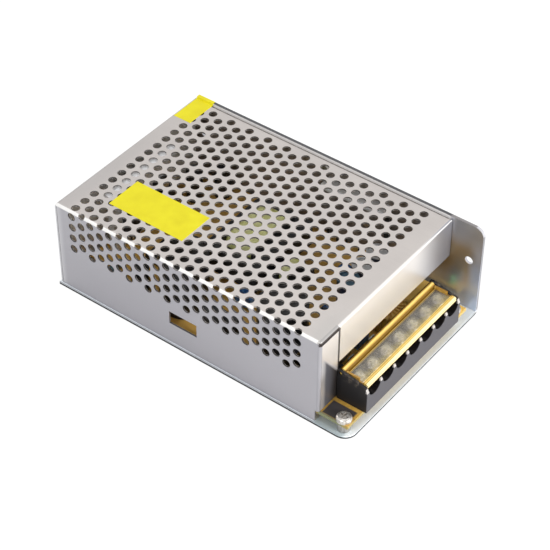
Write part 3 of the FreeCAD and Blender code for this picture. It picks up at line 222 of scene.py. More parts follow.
def sink_sheet():
    """Bright heatsink sheet, with heat paste on the bracket's upright plate below its flange."""
    thin_paste, paste = (0.42, 0.36, 0.33), (0.20, 0.165, 0.145)
    f = Finish("sink_metal")
    y, z = f.axes("YZ")
    colour, rough, bump = sheet_tone(f, (0.99, 0.99, 1.0), (0.90, 0.90, 0.92))
    smear = f.noise(7.0, 3.0).rise(0.30, 0.50)
    upright = y.rise(38.0, 39.0) * z.fall(35.6, 36.6)
    colour = f.paint(colour, (f.mix(thin_paste, paste, smear), upright * 0.95))
    return f.surface(base_color=colour, metallic=0.15, roughness=rough + upright * 0.1,
                     normal=bump)


class CoverPlaces:
    """Distances from the cover's faces and edges in millimetres, and where its main parts lie."""

    def __init__(self, f):
        x, self.y, self.z = f.axes()
        self.behind_lip = LIP_FACE - x
        self.from_closed = x - COVER_CLOSED
        self.from_near = self.y - COVER_NEAR
        self.from_wall = WALL_INSIDE - self.y
        self.along_lip = self.y - LIP_START
        self.below_top = COVER_TOP - self.z
        self.end = self.behind_lip.fall(0.8, 1.1)
        self.lip = self.end * self.along_lip.rise(-0.1, 0.1)
        self.flange = self.end * self.along_lip.fall(-0.1, 0.1)
        self.inside = (self.below_top.rise(0.6, 0.75) * self.from_near.rise(0.5, 0.7)
                       * self.from_closed.rise(0.5, 0.7) * self.behind_lip.rise(1.5, 2.5))


def top_and_side_coats(at):
    """Painted shade makes the near side cooler and the top darker at the closed end and corner, and
    a painted highlight makes the side pale at its closed edge.
    """
    cool, corner_highlight = (0.425, 0.42, 0.455), (0.66, 0.66, 0.68)
    shaded_end, shaded_corner = (0.47, 0.445, 0.435), (0.47, 0.455, 0.44)
    side = at.from_near.fall(0.3, 0.5) * at.below_top.rise(0.8, 1.2)
    closed = at.from_closed.fall(4.0, 12.0) * at.below_top.fall(0.8, 1.2)
    corner = (at.behind_lip.fall(3.5, 11.5) * at.from_near.fall(4.4, 30.4)
              * at.below_top.fall(0.1, 0.6))
    # Painted shade on the side and top, and a painted highlight on the side's closed edge.
    return ((cool, side * 0.9),
            (corner_highlight, side * at.from_closed.fall(0.0, 4.5) * 0.8),
            (shaded_end, closed * (0.85 - at.y.rise(-20.0, 44.0) * 0.7)),
            (shaded_corner, corner * 0.6))


def lip_coats(f, at, shade):
    """Painted light makes the lip cream and the flange's top pale, painted shade makes the lip
    blue-grey at its far end, and a painted reflection of the block makes the flange dark beside the
    block.
    """
    cream, shaded_blue_grey, lit_flange_top = (0.84, 0.81, 0.78), (0.27, 0.28, 0.33), (0.83, 0.81, 0.82)
    dark, darkest = (0.062, 0.062, 0.072), (0.016, 0.013, 0.013)
    # Painted light on the lip and the flange's top, painted shade at the lip's far end, and the
    # block's painted reflection low on the flange.
    return ((cream, at.lip * 0.85),
            (shaded_blue_grey, at.lip * at.y.rise(16.0, 44.0) * 0.9),
            (lit_flange_top, at.flange * at.z.rise(23.0, 30.0) * 0.9),
            (f.mix(dark, darkest, at.from_near.rise(5.4, 11.4)), shade * 0.97))


def bend_coats(at):
    """The upright bend and the short fold over the flange, which face away from the light."""
    bend_grey, fold_grey = (0.36, 0.355, 0.385), (0.36, 0.35, 0.34)
    bend = (at.behind_lip.fall(1.1, 1.6) * at.from_near.fall(1.0, 1.5)
            * at.below_top.rise(0.9, 1.5))
    short_fold = (at.behind_lip.fall(1.1, 1.5) * at.along_lip.fall(-0.3, -0.1)
                  * at.below_top.fall(0.9, 1.3))
    return (bend_grey, bend * 0.85), (fold_grey, short_fold * 0.85)


def inside_coats(at):
    """A pale inner face from painted light, with a brown hem, and painted shade darkening the walls
    of the holes.
    """
    pale, hem_brown, bore_shade = (0.97, 0.94, 0.90), (0.26, 0.21, 0.17), (0.15, 0.14, 0.135)
    across = at.from_closed.rise(1.1, 1.3) * at.behind_lip.rise(1.6, 1.8)
    top_bore = (at.below_top.band(0.04, 0.76, 0.03) * at.from_near.rise(1.7, 1.9)
                * at.from_wall.rise(0.5, 0.7))
    side_bore = (at.from_near.band(0.06, 0.76, 0.03) * at.z.rise(2.8, 3.2)
                 * at.below_top.rise(1.3, 1.7))
    # Painted light on the inner face and painted shade in the holes.
    return ((pale, at.inside * 0.95),
            (hem_brown, at.inside * at.from_wall.fall(1.2, 1.5) * 0.9),
            (bore_shade, top_bore.larger(side_bore) * across * 0.9))


def bright_fold(at):
    """Where the sheet bends along the near side and along the lip and catches the light."""
    near_fold = (at.from_near.fall(0.7, 1.2) * at.below_top.fall(0.9, 1.4)
                 * at.behind_lip.rise(1.5, 2.0))
    lip_fold = (at.behind_lip.fall(0.2, 0.6) * at.below_top.fall(0.5, 0.9)
                * at.along_lip.rise(-0.1, 0.1) * (0.6 + at.y.rise(5.0, 35.0) * 0.4))
    return near_fold.larger(lip_fold)


def dark_seam(at):
    """Painted shade in the gaps between the flange and the top, and between the flange and the lip.
    """
    under_top = at.flange * at.below_top.band(0.6, 2.5, 0.05)
    beside_lip = (at.end * at.along_lip.band(-0.6, 0.05, 0.05) * at.z.rise(22.95, 23.05)
                  * at.below_top.rise(0.55, 0.65))
    return under_top.larger(beside_lip)


def cover_sheet():
    """Cover metal: warm on top, cooler on the side by painted shade, bright along its folds by
    painted highlights, and pale inside by painted light.
    """
    top_light, top_dark = (0.585, 0.545, 0.520), (0.51, 0.475, 0.455)
    fold_highlight, seam_shade_black = (0.97, 0.96, 0.94), (0.030, 0.020, 0.016)
    f = Finish("cover_metal")
    at = CoverPlaces(f)
    # Painted reflection of the block: the flange is dark below a slanting line.
    slant = at.z + at.y * 1.33
    shade = at.flange * slant.fall(-26.4, -24.4) * at.from_near.rise(1.4, 5.0)
    fold, seam = bright_fold(at), dark_seam(at)
    colour, rough, bump = sheet_tone(f, top_light, top_dark)
    colour = f.paint(colour, *top_and_side_coats(at), *lip_coats(f, at, shade), *bend_coats(at),
                     *inside_coats(at), (fold_highlight, fold * 0.95), (seam_shade_black, seam * 0.95))
    metallic = 0.62 - fold * 0.45 - at.inside * 0.55 - (shade * 0.5).larger(seam * 0.6)
    return f.surface(base_color=colour, metallic=metallic, roughness=rough + seam * 0.5,
                     normal=bump)


class ChassisPlaces:
    """Distances from the chassis's faces in millimetres, and where its main parts lie."""

    def __init__(self, f):
        self.x, self.y, self.z = f.axes()
        self.from_front = BASE_FRONT - self.x
        self.from_near = self.y - BASE_NEAR
        self.below_crest = WALL_CREST - self.z
        self.upright = self.z.rise(1.6, 1.9)
        self.plate = 1 - self.upright
        self.inner = self.y.fall(WALL_INSIDE + 0.1, WALL_INSIDE + 0.4)
        self.end = self.from_front.fall(0.04, 0.12)
        self.near = self.from_near.fall(0.04, 0.5)
        self.beside_top = self.x.fall(61.5, 63.0)
        self.hidden = self.inner * self.x.fall(44.0, 48.0) * self.upright
        self.strip = self.inner * self.below_crest.fall(1.5, 2.0) * self.beside_top
        self.crest = self.below_crest.fall(0.01, 0.06)

    def edge_shadow(self):
        """Where a painted shadow lies along the lower part of the base plate's sheared edge, round
        its corner too.
        """
        aside = (BASE_CORNER - self.from_front).larger(0.0)
        ahead = (BASE_CORNER - self.from_near).larger(0.0)
        round_corner = (aside * aside + ahead * ahead).rise(34.8, 35.6)
        return self.end.larger(self.near).larger(round_corner) * self.z.fall(0.80, 0.95)


def base_and_glow_coats(at):
    """Painted light makes the base plate bright. A painted reflection of the board makes the wall's
    inner face amber by the board, and painted shade makes it brown under the cover.
    """
    bright, amber, brown = (0.90, 0.96, 1.0), (0.40, 0.28, 0.13), (0.31, 0.25, 0.205)
    # Painted reflection of the amber board on the wall's inner face.
    glow = (at.inner * at.x.rise(46.0, 50.0) * at.z.band(17.0, 38.0, 6.0)
            * (1 - at.x.rise(72.0, 78.0) * 0.8))
    return (bright, at.plate * 0.98), (amber, glow * 0.9), (brown, at.hidden * 0.9)


def base_edge_coats(at, edge_shadow):
    """The base plate's greyer edges, its dimmer part under the board in painted shade, and a black
    painted shadow along the lower part of its sheared edge.
    """
    front_grey, near_grey = (0.55, 0.58, 0.62), (0.36, 0.37, 0.40)
    board_shade, edge_shadow_black = (0.40, 0.48, 0.51), (0.012, 0.012, 0.013)
    under_board = at.plate * at.x.band(61.0, 76.0, 1.2) * at.from_near.fall(6.0, 10.0)
    # Greyer edges, painted shade under the board, and a painted shadow along the plate's lower edge.
    return ((front_grey, at.end * at.plate * 0.8),
            (near_grey, at.near * at.plate * 0.9),
            (board_shade, under_board * 0.85),
            (edge_shadow_black, edge_shadow * 0.97))


def wall_coats(f, at):
    """A pale strip of painted highlight and a crest in painted shade, darkest beside the top; a grey
    end face; painted shade high on the inner face past the lip; and an open end that a painted
    reflection makes cooler lower down.
    """
    crest_shade, crest_shadow = (0.24, 0.225, 0.225), (0.045, 0.045, 0.048)
    strip_highlight = (0.96, 0.94, 0.93)
    end_grey, high_shade, cool_reflection = (0.28, 0.285, 0.31), (0.20, 0.19, 0.18), (0.60, 0.68, 0.84)
    # Painted shade high on the inner face, and a painted reflection low by the open end.
    high = at.inner * at.x.rise(62.5, 66.0) * at.z.rise(32.0, 44.0)
    cool = at.inner * at.x.rise(72.0, 76.5) * at.upright * at.z.fall(20.0, 32.0)
    return ((strip_highlight, at.strip * 0.95),
            (f.mix(crest_shade, crest_shadow, at.beside_top), at.crest * 0.92),
            (end_grey, at.end * at.z.rise(2.0, 3.0) * 0.85),
            (high_shade, high * 0.7),
            (cool_reflection, cool * 0.85))


def chassis_sheet():
    """Chassis metal: a base plate made bright by painted light, with greyer edges and a painted
    shadow along them, and a wall toned by painted reflections and painted shade from what is near
    it.
    """
    f = Finish("chassis_metal")
    at = ChassisPlaces(f)
    edge_shadow = at.edge_shadow()
    colour, rough, bump = sheet_tone(f, (0.66, 0.66, 0.70), (0.52, 0.52, 0.56))
    colour = f.paint(colour, *base_and_glow_coats(at), *base_edge_coats(at, edge_shadow),
                     *wall_coats(f, at))
    metallic = 0.62 - at.plate * 0.60 - (at.hidden * 0.45).larger(at.strip * 0.6)
    return f.surface(base_color=colour, metallic=metallic,
                     roughness=rough + edge_shadow * 0.6 + at.crest * 0.12, normal=bump)


# Fasteners and contacts

def bright_metal(name, light, dark, base_rough):
    """Plated steel with fine turning marks and a few darker spots."""
    f = Finish(name)
    fine = f.noise(0.60, stretch=(1.0, 1.0, 0.4))
    spot = f.noise(1.6).rise(0.60, 0.74)
    colour = f.paint(f.mix(dark, light, fine.rise(0.3, 0.7)), (scaled(dark, 0.60), spot * 0.3))
    return f.surface(base_color=colour, metallic=0.85,
                     roughness=base_rough + fine * 0.14 + spot * 0.10,
                     normal=f.bump(fine, strength=0.08, distance=0.02))


# Board, block and flap

def board_coats(f, x, y, z, pad):
    """Darker copper runs; painted light makes the board gold inside the case, brighter on the near
    side and under the lip; a near-black patch round the near screw, and green at the edges.
    """
    run_brown, end_lit_gold = (0.34, 0.20, 0.05), (1.0, 0.64, 0.15)
    near_lit_gold, far_lit_gold = (1.0, 0.60, 0.15), (0.74, 0.45, 0.13)
    rim_green, edge_green = (0.20, 0.21, 0.13), (0.20, 0.24, 0.11)
    screw_patch_black = (0.030, 0.031, 0.040)
    runs = f.noise(7.0, 0.0, stretch=(0.35, 1.0, 1.0)).band(0.46, 0.54, 0.01)
    gold = f.mix(near_lit_gold, far_lit_gold, y.rise(-24.0, -2.0))
    rim = x.rise(62.0, 62.5) * y.fall(-46.9, -46.5) * x.fall(74.0, 75.0)
    edge = z.rise(5.3, 5.5) * z.fall(6.85, 6.98)
    # Painted light makes the board gold inside the case and under the lip.
    return ((run_brown, runs * 0.45),
            (gold, x.fall(60.0, 64.5) * 0.92),
            (end_lit_gold, x.rise(43.0, 48.0) * y.rise(-30.0, -24.0) * 0.95),
            (screw_patch_black, pad * 0.97),
            (rim_green, rim * 0.9),
            (edge_green, edge * 0.55))


def board_laminate():
    """Golden laminate with a woven grain."""
    f = Finish("board_laminate")
    x, y, z = f.axes()
    along = f.noise(0.5, stretch=(1.0, 0.25, 1.0))
    across = f.noise(0.5, stretch=(0.25, 1.0, 1.0))
    weave = along * 0.5 + across * 0.5
    cloud = f.noise(9.0)
    lamina = f.ramp(weave * 0.5 + cloud * 0.5, (0.30, (0.40, 0.22, 0.035)),
                    (0.52, (0.62, 0.37, 0.07)), (0.75, (0.72, 0.47, 0.14)))
    # The near-black patch round the near screw, rougher and without the coat.
    pad = x.band(63.9, 76.0, 0.4) * y.band(-46.6, -38.3, 0.3) * z.rise(6.6, 6.9)
    colour = f.paint(lamina, *board_coats(f, x, y, z, pad))
    return f.surface(base_color=colour, roughness=0.42 + weave * 0.15 + pad * 0.2,
                     coat_weight=0.25 - pad * 0.25, coat_roughness=0.2, specular_ior_level=0.3,
                     normal=f.bump(weave, strength=0.15, distance=0.05))


def moulded(name, light, dark, rough=0.38, grain=0.25, coat=0.0):
    """Moulded plastic with a fine spark-eroded texture and faint clouding."""
    f = Finish(name)
    fine = f.noise(grain)
    cloud = f.noise(6.0)
    colour = f.mix(dark, light, (fine * 0.3 + cloud * 0.7).rise(0.3, 0.7))
    return f.surface(base_color=colour, roughness=rough + fine * 0.12, coat_weight=coat,
                     coat_roughness=0.15, normal=f.bump(fine, strength=0.12, distance=0.03))


def block_plastic():
    """Black moulding, satin outside and darker in its wire ways by painted shade, with dusty barrier
    tops and painted glints at the barrier tips.
    """
    black, way_shade_black = (0.020, 0.019, 0.020), (0.003, 0.002, 0.002)
    front_grey, dust_brown, glint_grey = (0.100, 0.098, 0.110), (0.16, 0.13, 0.10), (0.62, 0.59, 0.57)
    f = Finish("block_plastic")
    x, y, z = f.axes()
    fine = f.noise(0.3)
    dust = f.noise(2.2, 4.0, rough=0.65).rise(0.48, 0.70) * z.rise(18.4, 19.2)
    front = x.rise(78.7, 78.95) * z.fall(18.0, 18.6)
    # Painted shade in the wire ways.
    ways = z.rise(14.6, 15.0) * x.fall(78.6, 78.9) * y.band(-35.0, 31.4, 0.1)
    # Painted glints at the barrier tips.
    tips = x.rise(78.1, 78.3) * z.rise(18.0, 18.2)
    colour = f.paint(f.mix(black, front_grey, front * (0.75 + fine * 0.25)),
                     (way_shade_black, ways * 0.97),
                     (dust_brown, dust * (1 - ways) * 0.5),
                     (glint_grey, tips * 0.8))
    return f.surface(base_color=colour, roughness=0.30 + fine * 0.12 + front * 0.12 + ways * 0.5,
                     specular_ior_level=0.15, coat_weight=tips * 0.6, coat_roughness=0.1,
                     normal=f.bump(fine, strength=0.12, distance=0.03))


def flap_bars(f, wave, streak):
    """The flap's thick bars: gold, with stripes of painted shade and painted highlights along them.
    """
    deep_gold, light_gold = (0.46, 0.25, 0.025), (0.68, 0.42, 0.08)
    stripe_shade_brown, highlight_gold = (0.20, 0.10, 0.007), (1.0, 0.74, 0.20)
    # Stripes of painted shade and painted highlights along the bars.
    shade_stripes = wave.band(66.75, 67.35, 0.15).larger(wave.fall(64.9, 65.3))
    back_highlights = wave.band(65.55, 66.35, 0.15).larger(wave.band(67.50, 67.80, 0.06))
    front_highlights = wave.band(75.45, 75.85, 0.08).larger(wave.band(76.35, 76.75, 0.08))
    return f.paint(f.mix(deep_gold, light_gold, streak.rise(0.35, 0.65)),
                   (stripe_shade_brown, shade_stripes),
                   (highlight_gold, back_highlights.larger(front_highlights)))


def flap_panel(f, x, y):
    """The flap's thin panel: cloudy, dark with painted shade, pale with painted highlights over each
    screw head, and golden with painted light towards its front.
    """
    shadow, pale, lit_front_gold = (0.33, 0.31, 0.27), (0.86, 0.80, 0.60), (1.0, 0.84, 0.40)
    from_way = (y - FIRST_WAY).back_and_forth(WAY_PITCH / 2)
    # Painted highlights over each screw head, and painted light towards the front.
    head = from_way.fall(0.8, 3.4) * x.band(69.4, 73.4, 1.0)
    mottle = 0.55 + f.noise(1.3).rise(0.35, 0.65) * 0.45
    return f.paint(f.mix(shadow, pale, head * mottle), (lit_front_gold, x.rise(71.5, 75.4) * 0.85))


def clear_flap():
    """Clear amber-tinged plastic: gold where it is thick, nearly colourless in the thin panel, with
    painted highlights and painted shade on its bars and front face.
    """
    front_face_highlight, line_shade_brown, rib_brown = (1.0, 0.86, 0.46), (0.52, 0.30, 0.05), (0.34, 0.17, 0.02)
    f = Finish("clear_flap")
    x, y, z = f.axes()
    streak = f.noise(3.0, 3.0, stretch=(1.0, 0.12, 1.0))
    fine = f.noise(0.4, 3.0)
    wave = x + streak * 0.25
    panel = x.band(67.6, 75.3, 0.12) * z.fall(21.1, 21.3) * y.band(-34.0, 31.0, 0.25)
    lines = z.band(20.70, 20.95, 0.05).larger(z.fall(19.72, 19.85))
    ribs = y.fall(-33.95, -33.75).larger(y.rise(30.15, 30.35)) * x.band(67.2, 76.0, 0.3)
    # A painted highlight on the bar's front face, crossed by lines of painted shade.
    colour = f.paint(flap_bars(f, wave, streak),
                     (f.mix(front_face_highlight, line_shade_brown, lines), wave.rise(76.95, 77.25)),
                     (flap_panel(f, x, y), panel),
                     (rib_brown, ribs * 0.75))
    return f.surface(base_color=colour, roughness=0.14 + fine * 0.10,
                     alpha=0.90 - panel * 0.56 + fine * 0.03, coat_weight=0.25,
                     coat_roughness=0.08, specular_ior_level=0.45,
                     normal=f.bump(streak, strength=0.12, distance=0.08))


# Parts on the board

def ferrite():
    """Pressed and fired core: nearly black, with a coarse matt grain."""
    f = Finish("ferrite")
    fine = f.noise(0.35, 4.0, rough=0.7)
    cloud = f.noise(5.0)
    colour = f.mix((0.018, 0.018, 0.020), (0.070, 0.068, 0.070),
                   (fine * 0.6 + cloud * 0.4).rise(0.35, 0.7))
    return f.surface(base_color=colour, roughness=0.45 + fine * 0.2, metallic=0.15,
                     normal=f.bump(fine, strength=0.35, distance=0.06))


def yellow_tape():
    """Polyester tape, wrinkled and glossy, with painted shade making it darker and greener in the
    low parts of its wrinkles.
    """
    f = Finish("yellow_tape")
    wrinkle = f.noise(4.0, 3.0, stretch=(0.6, 1.0, 0.3))
    fine = f.noise(0.6, 3.0)
    # The colour follows the wrinkles, with painted shade in their low parts.
    colour = f.ramp(wrinkle * 0.7 + fine * 0.3, (0.28, (0.80, 0.82, 0.20)),
                    (0.50, (0.96, 0.97, 0.42)), (0.75, (1.0, 1.0, 0.62)))
    return f.surface(base_color=colour, roughness=0.22 + fine * 0.12, coat_weight=0.5,
                     coat_roughness=0.1, normal=f.bump(wrinkle, strength=0.35, distance=0.25))


def wound_wire(name, light, dark):
    """Lacquered copper: amber on the ring, nearly black on the mains choke nearer the side."""
    f = Finish(name)
    [y] = f.axes("Y")
    fine = f.noise(0.7, 3.0, stretch=(1.0, 1.0, 0.5))
    amber = f.mix(dark, light, fine.rise(0.3, 0.7))
    return f.surface(base_color=f.mix(scaled(dark, 0.15), amber, y.rise(-21.0, -19.0)),
                     metallic=0.35, roughness=0.26 + fine * 0.15, coat_weight=0.4,
                     coat_roughness=0.12, normal=f.bump(fine, strength=0.1, distance=0.03))


def can_sleeve(name, light, dark, top, near_top, shoulder):
    """A shrunk sleeve, faintly scratched, with a top of another colour on the nearest can."""
    f = Finish(name)
    y, z = f.axes("YZ")
    fine = f.noise(0.5)
    scratch = f.noise(1.2, 3.0, stretch=(1.0, 0.2, 1.0)).rise(0.6, 0.75)
    lid = z.rise(shoulder - 0.05, shoulder + 0.05)
    far_top = f.mix(scaled(top, 0.7), top, fine)
    colour = f.paint(f.mix(dark, light, fine),
                     (scaled(light, 1.6), scratch * 0.3),
                     (f.mix(near_top, far_top, y.rise(12.5, 13.5)), lid))
    return f.surface(base_color=colour, roughness=0.24 + fine * 0.12 + lid * 0.1, coat_weight=0.3,
                     normal=f.bump(fine, strength=0.08, distance=0.03))


def dipped_epoxy(name, light, dark):
    """A dipped coat, glossy and slightly lumpy."""
    f = Finish(name)
    fine = f.noise(1.4, 3.0)
    colour = f.mix(dark, light, fine.rise(0.3, 0.7))
    return f.surface(base_color=colour, roughness=0.20 + fine * 0.15, coat_weight=0.4,
                     coat_roughness=0.1, normal=f.bump(fine, strength=0.3, distance=0.15))


def banded_resistor():
    """A pale blue coat with red rings round it."""
    dark_blue, light_blue, ring_red = (0.16, 0.30, 0.37), (0.27, 0.43, 0.50), (0.22, 0.05, 0.03)
    ring_step = 1.1
    f = Finish("resistor_coat")
    [y] = f.axes("Y")
    fine = f.noise(0.5)
    ring = y.back_and_forth(ring_step).rise(0.70, 0.78)
    colour = f.paint(f.mix(dark_blue, light_blue, fine), (ring_red, ring * 0.8))
    return f.surface(base_color=colour, roughness=0.35 + fine * 0.1,
                     normal=f.bump(fine, strength=0.15, distance=0.05))


def fuse_glass():
    """Clear glass between two plated caps."""
    plated, clear = (0.60, 0.57, 0.50), (0.86, 0.90, 0.88)
    f = Finish("fuse_glass")
    [y] = f.axes("Y")
    glass = y.band(-15.0, -5.0, 0.05)
    fine = f.noise(0.4)
    return f.surface(base_color=f.mix(plated, clear, glass), metallic=(1 - glass) * 0.9,
                     roughness=0.08 + fine * 0.12, alpha=1 - glass * 0.65,
                     normal=f.bump(fine, strength=0.05, distance=0.02))


def film_box():
    """A blue box whose open top is filled with golden resin."""
    dark_blue, light_blue, resin_gold = (0.04, 0.14, 0.42), (0.08, 0.24, 0.62), (0.62, 0.40, 0.13)
    f = Finish("film_box")
    [z] = f.axes("Z")
    fine = f.noise(0.3)
    resin = z.rise(20.6, 20.9)
    colour = f.paint(f.mix(dark_blue, light_blue, fine), (resin_gold, resin))
    return f.surface(base_color=colour, roughness=0.28 + fine * 0.12 + resin * 0.1,
                     coat_weight=0.2, coat_roughness=0.15,
                     normal=f.bump(fine, strength=0.12, distance=0.03))


def rubber_pad():
    """A soft grey pad with a woven face."""
    f = Finish("rubber_pad")
    weave = f.noise(0.3, stretch=(1.0, 1.0, 0.3))
    return f.surface(base_color=f.mix((0.20, 0.22, 0.24), (0.34, 0.36, 0.38), weave),
                     roughness=0.7 + weave * 0.1,
                     normal=f.bump(weave, strength=0.2, distance=0.04))


def sticker():
    """Yellow film with a fine tooth and faint clouding."""
    f = Finish("yellow_sticker")
    tooth = f.noise(0.25)
    cloud = f.noise(8.0)
    colour = f.ramp(cloud * 0.7 + tooth * 0.3, (0.30, (0.76, 0.66, 0.008)),
                    (0.55, (0.83, 0.74, 0.012)), (0.80, (0.88, 0.80, 0.02)))
    return f.surface(base_color=colour, roughness=0.40 + tooth * 0.1, specular_ior_level=0.3,
                     normal=f.bump(tooth * 0.5 + cloud * 0.5, strength=0.12, distance=0.04))


def lamp_lens():
    """A green moulded lens, nearly smooth."""
    f = Finish("lamp_lens")
    fine = f.noise(0.8)
    return f.surface(base_color=f.mix((0.05, 0.35, 0.10), (0.12, 0.62, 0.22), fine),
                     roughness=0.12 + fine * 0.08, coat_weight=0.5, coat_roughness=0.05,
                     normal=f.bump(fine, strength=0.05, distance=0.05))


FINISHES = {
    "cover_metal": cover_sheet(),
    "chassis_metal": chassis_sheet(),
    "sink_metal": sink_sheet(),
    "screw_metal": bright_metal("screw_metal", (0.78, 0.75, 0.71), (0.46, 0.43, 0.40), 0.24),
    "contact_metal": bright_metal("contact_metal", (0.84, 0.82, 0.74), (0.56, 0.54, 0.47), 0.22),
    "standoff_metal": bright_metal("standoff_metal", (0.46, 0.45, 0.43), (0.30, 0.29, 0.28), 0.40),
    "board_laminate": board_laminate(),
    "insulating_film": moulded("insulating_film", (0.70, 0.69, 0.64), (0.60, 0.59, 0.55),
                               rough=0.4),
    "block_plastic": block_plastic(),
    "flap_plastic": clear_flap(),
    "trimmer_plastic": moulded("trimmer_plastic", (0.06, 0.20, 0.50), (0.03, 0.10, 0.30)),
    "rotor_plastic": moulded("rotor_plastic", (0.80, 0.79, 0.74), (0.66, 0.65, 0.60)),
    "lamp_plastic": lamp_lens(),
    "ferrite": ferrite(),
    "former_plastic": moulded("former_plastic", (0.045, 0.043, 0.042), (0.018, 0.017, 0.017)),
    "yellow_tape": yellow_tape(),
    "ring_core_paint": moulded("ring_core_paint", (0.90, 0.58, 0.12), (0.70, 0.40, 0.06),
                               rough=0.3, grain=0.4, coat=0.3),
    "copper_wire": wound_wire("copper_wire", (0.98, 0.66, 0.20), (0.72, 0.42, 0.09)),
    "can_sleeve": can_sleeve("can_sleeve", (0.035, 0.035, 0.040), (0.012, 0.012, 0.014),
                             top=(0.05, 0.05, 0.055), near_top=(0.022, 0.020, 0.022),
                             shoulder=36.4),
    "output_can_sleeve": can_sleeve("output_can_sleeve", (0.06, 0.07, 0.12), (0.02, 0.025, 0.05),
                                    top=(0.80, 0.81, 0.84), near_top=(0.05, 0.13, 0.20),
                                    shoulder=26.4),
    "blue_epoxy": dipped_epoxy("blue_epoxy", (0.045, 0.17, 0.42), (0.02, 0.08, 0.24)),
    "film_box": film_box(),
    "fuse_glass": fuse_glass(),
    "black_epoxy": moulded("black_epoxy", (0.045, 0.044, 0.045), (0.015, 0.015, 0.016),
                           rough=0.42),
    "resistor_coat": banded_resistor(),
    "pad_rubber": rubber_pad(),
    "yellow_sticker": sticker(),
}

SLOT_OF = {part["node"]: part["material_slot"] for part in frame["record"]["subparts"]}


def dress_nodes():
    """Every carried-over solid takes the finish of its material slot."""
    for name, solid in frame["nodes"].items():
        solid.data.materials.clear()
        solid.data.materials.append(FINISHES[SLOT_OF[name]])


# New pieces

def in_scene(name, data):
    """An object made from its data and linked to the scene."""
    made = bpy.data.objects.new(name, data)
    bpy.context.scene.collection.objects.link(made)
    return made


def finish_piece(piece, node_name, slot_name, body=CASE):
    """Ride on a body, stand for a solid and take a slot's finish."""
    if not piece.data.materials:
        piece.data.materials.append(FINISHES[slot_name])
    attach(piece, body)
    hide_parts(node_name)


def mesh_piece(name, build):
    """A piece whose mesh is filled in by a function."""
    mesh = bpy.data.meshes.new(name)
    shape = bmesh.new()
    build(shape)
    bmesh.ops.recalc_face_normals(shape, faces=shape.faces)
    shape.to_mesh(mesh)
    shape.free()
    return in_scene(name, mesh)


def add_tube(shape, rings):
    """Faces between rings of corners, with both ends closed."""
    for near, far in zip(rings, rings[1:]):
        for j in range(len(near)):
            k = (j + 1) % len(near)
            shape.faces.new((near[j], near[k], far[k], far[j]))
    shape.faces.new(rings[0])
    shape.faces.new(rings[-1])


class Growth:
    """A geometry tree made in the script, with named inputs."""

    def __init__(self, name, **sizes):
        self.tree = bpy.data.node_groups.new(name, "GeometryNodeTree")
        self.tree.interface.new_socket("Geometry", in_out="OUTPUT",
                                       socket_type="NodeSocketGeometry")
        kinds = {int: "NodeSocketInt", float: "NodeSocketFloat",
                 bpy.types.Material: "NodeSocketMaterial"}
        self.sizes = sizes
        for key, value in sizes.items():
            kind = next(socket for type_of, socket in kinds.items() if isinstance(value, type_of))
            self.tree.interface.new_socket(key, in_out="INPUT", socket_type=kind)
        self.inputs = self.tree.nodes.new("NodeGroupInput")

    def given(self, key):
        return self.inputs.outputs[key]

    def node(self, kind, settings=None, inputs=None, out=0):
        """A node with its settings and the values or links of its sockets."""
        made = self.tree.nodes.new(kind)
        for key, value in (settings or {}).items():
            setattr(made, key, value)
        for key, value in (inputs or {}).items():
            if isinstance(value, bpy.types.NodeSocket):
                self.tree.links.new(value, made.inputs[key])
            else:
                made.inputs[key].default_value = value
        return made.outputs[out]

    def grow(self, geometry):
        """Join the result to the output and turn it into a plain mesh."""
        real = self.node("GeometryNodeRealizeInstances", {}, {0: geometry})
        painted = self.node("GeometryNodeSetMaterial", {}, {
            0: real, "Material": self.given("Finish")})
        end = self.tree.nodes.new("NodeGroupOutput")
        self.tree.links.new(painted, end.inputs[0])
        seed_name = self.tree.name + "_seed"
        seed = in_scene(seed_name, bpy.data.meshes.new(seed_name))
        modifier = seed.modifiers.new("growth", "NODES")
        modifier.node_group = self.tree
        for item in self.tree.interface.items_tree:
            if item.in_out == "INPUT":
                modifier[item.identifier] = self.sizes[item.name]
        bpy.context.view_layer.update()
        graph = bpy.context.evaluated_depsgraph_get()
        mesh = bpy.data.meshes.new_from_object(seed.evaluated_get(graph), depsgraph=graph)
        bpy.data.objects.remove(seed)
        return mesh


def placed(mesh, name, centre):
    """A piece whose mesh is moved to its place, with its object at the origin."""
    mesh.transform(Matrix.Translation(centre))
    return in_scene(name, mesh)


def wire_loop(growth, depth):
    """One turn of wire: a rectangle with rounded corners swept by a round section."""
    outline = growth.node("GeometryNodeCurvePrimitiveQuadrilateral", {}, {
        "Width": growth.given("Width"), "Height": growth.given(depth)})
    soft = growth.node("GeometryNodeFilletCurve", {"mode": "POLY"}, {
        "Curve": outline, "Radius": growth.given("Corner"), "Count": 3})
    section = growth.node("GeometryNodeCurvePrimitiveCircle", {}, {
        "Resolution": 8, "Radius": growth.given("Wire")})
    return growth.node("GeometryNodeCurveToMesh", {}, {"Curve": soft, "Profile Curve": section})


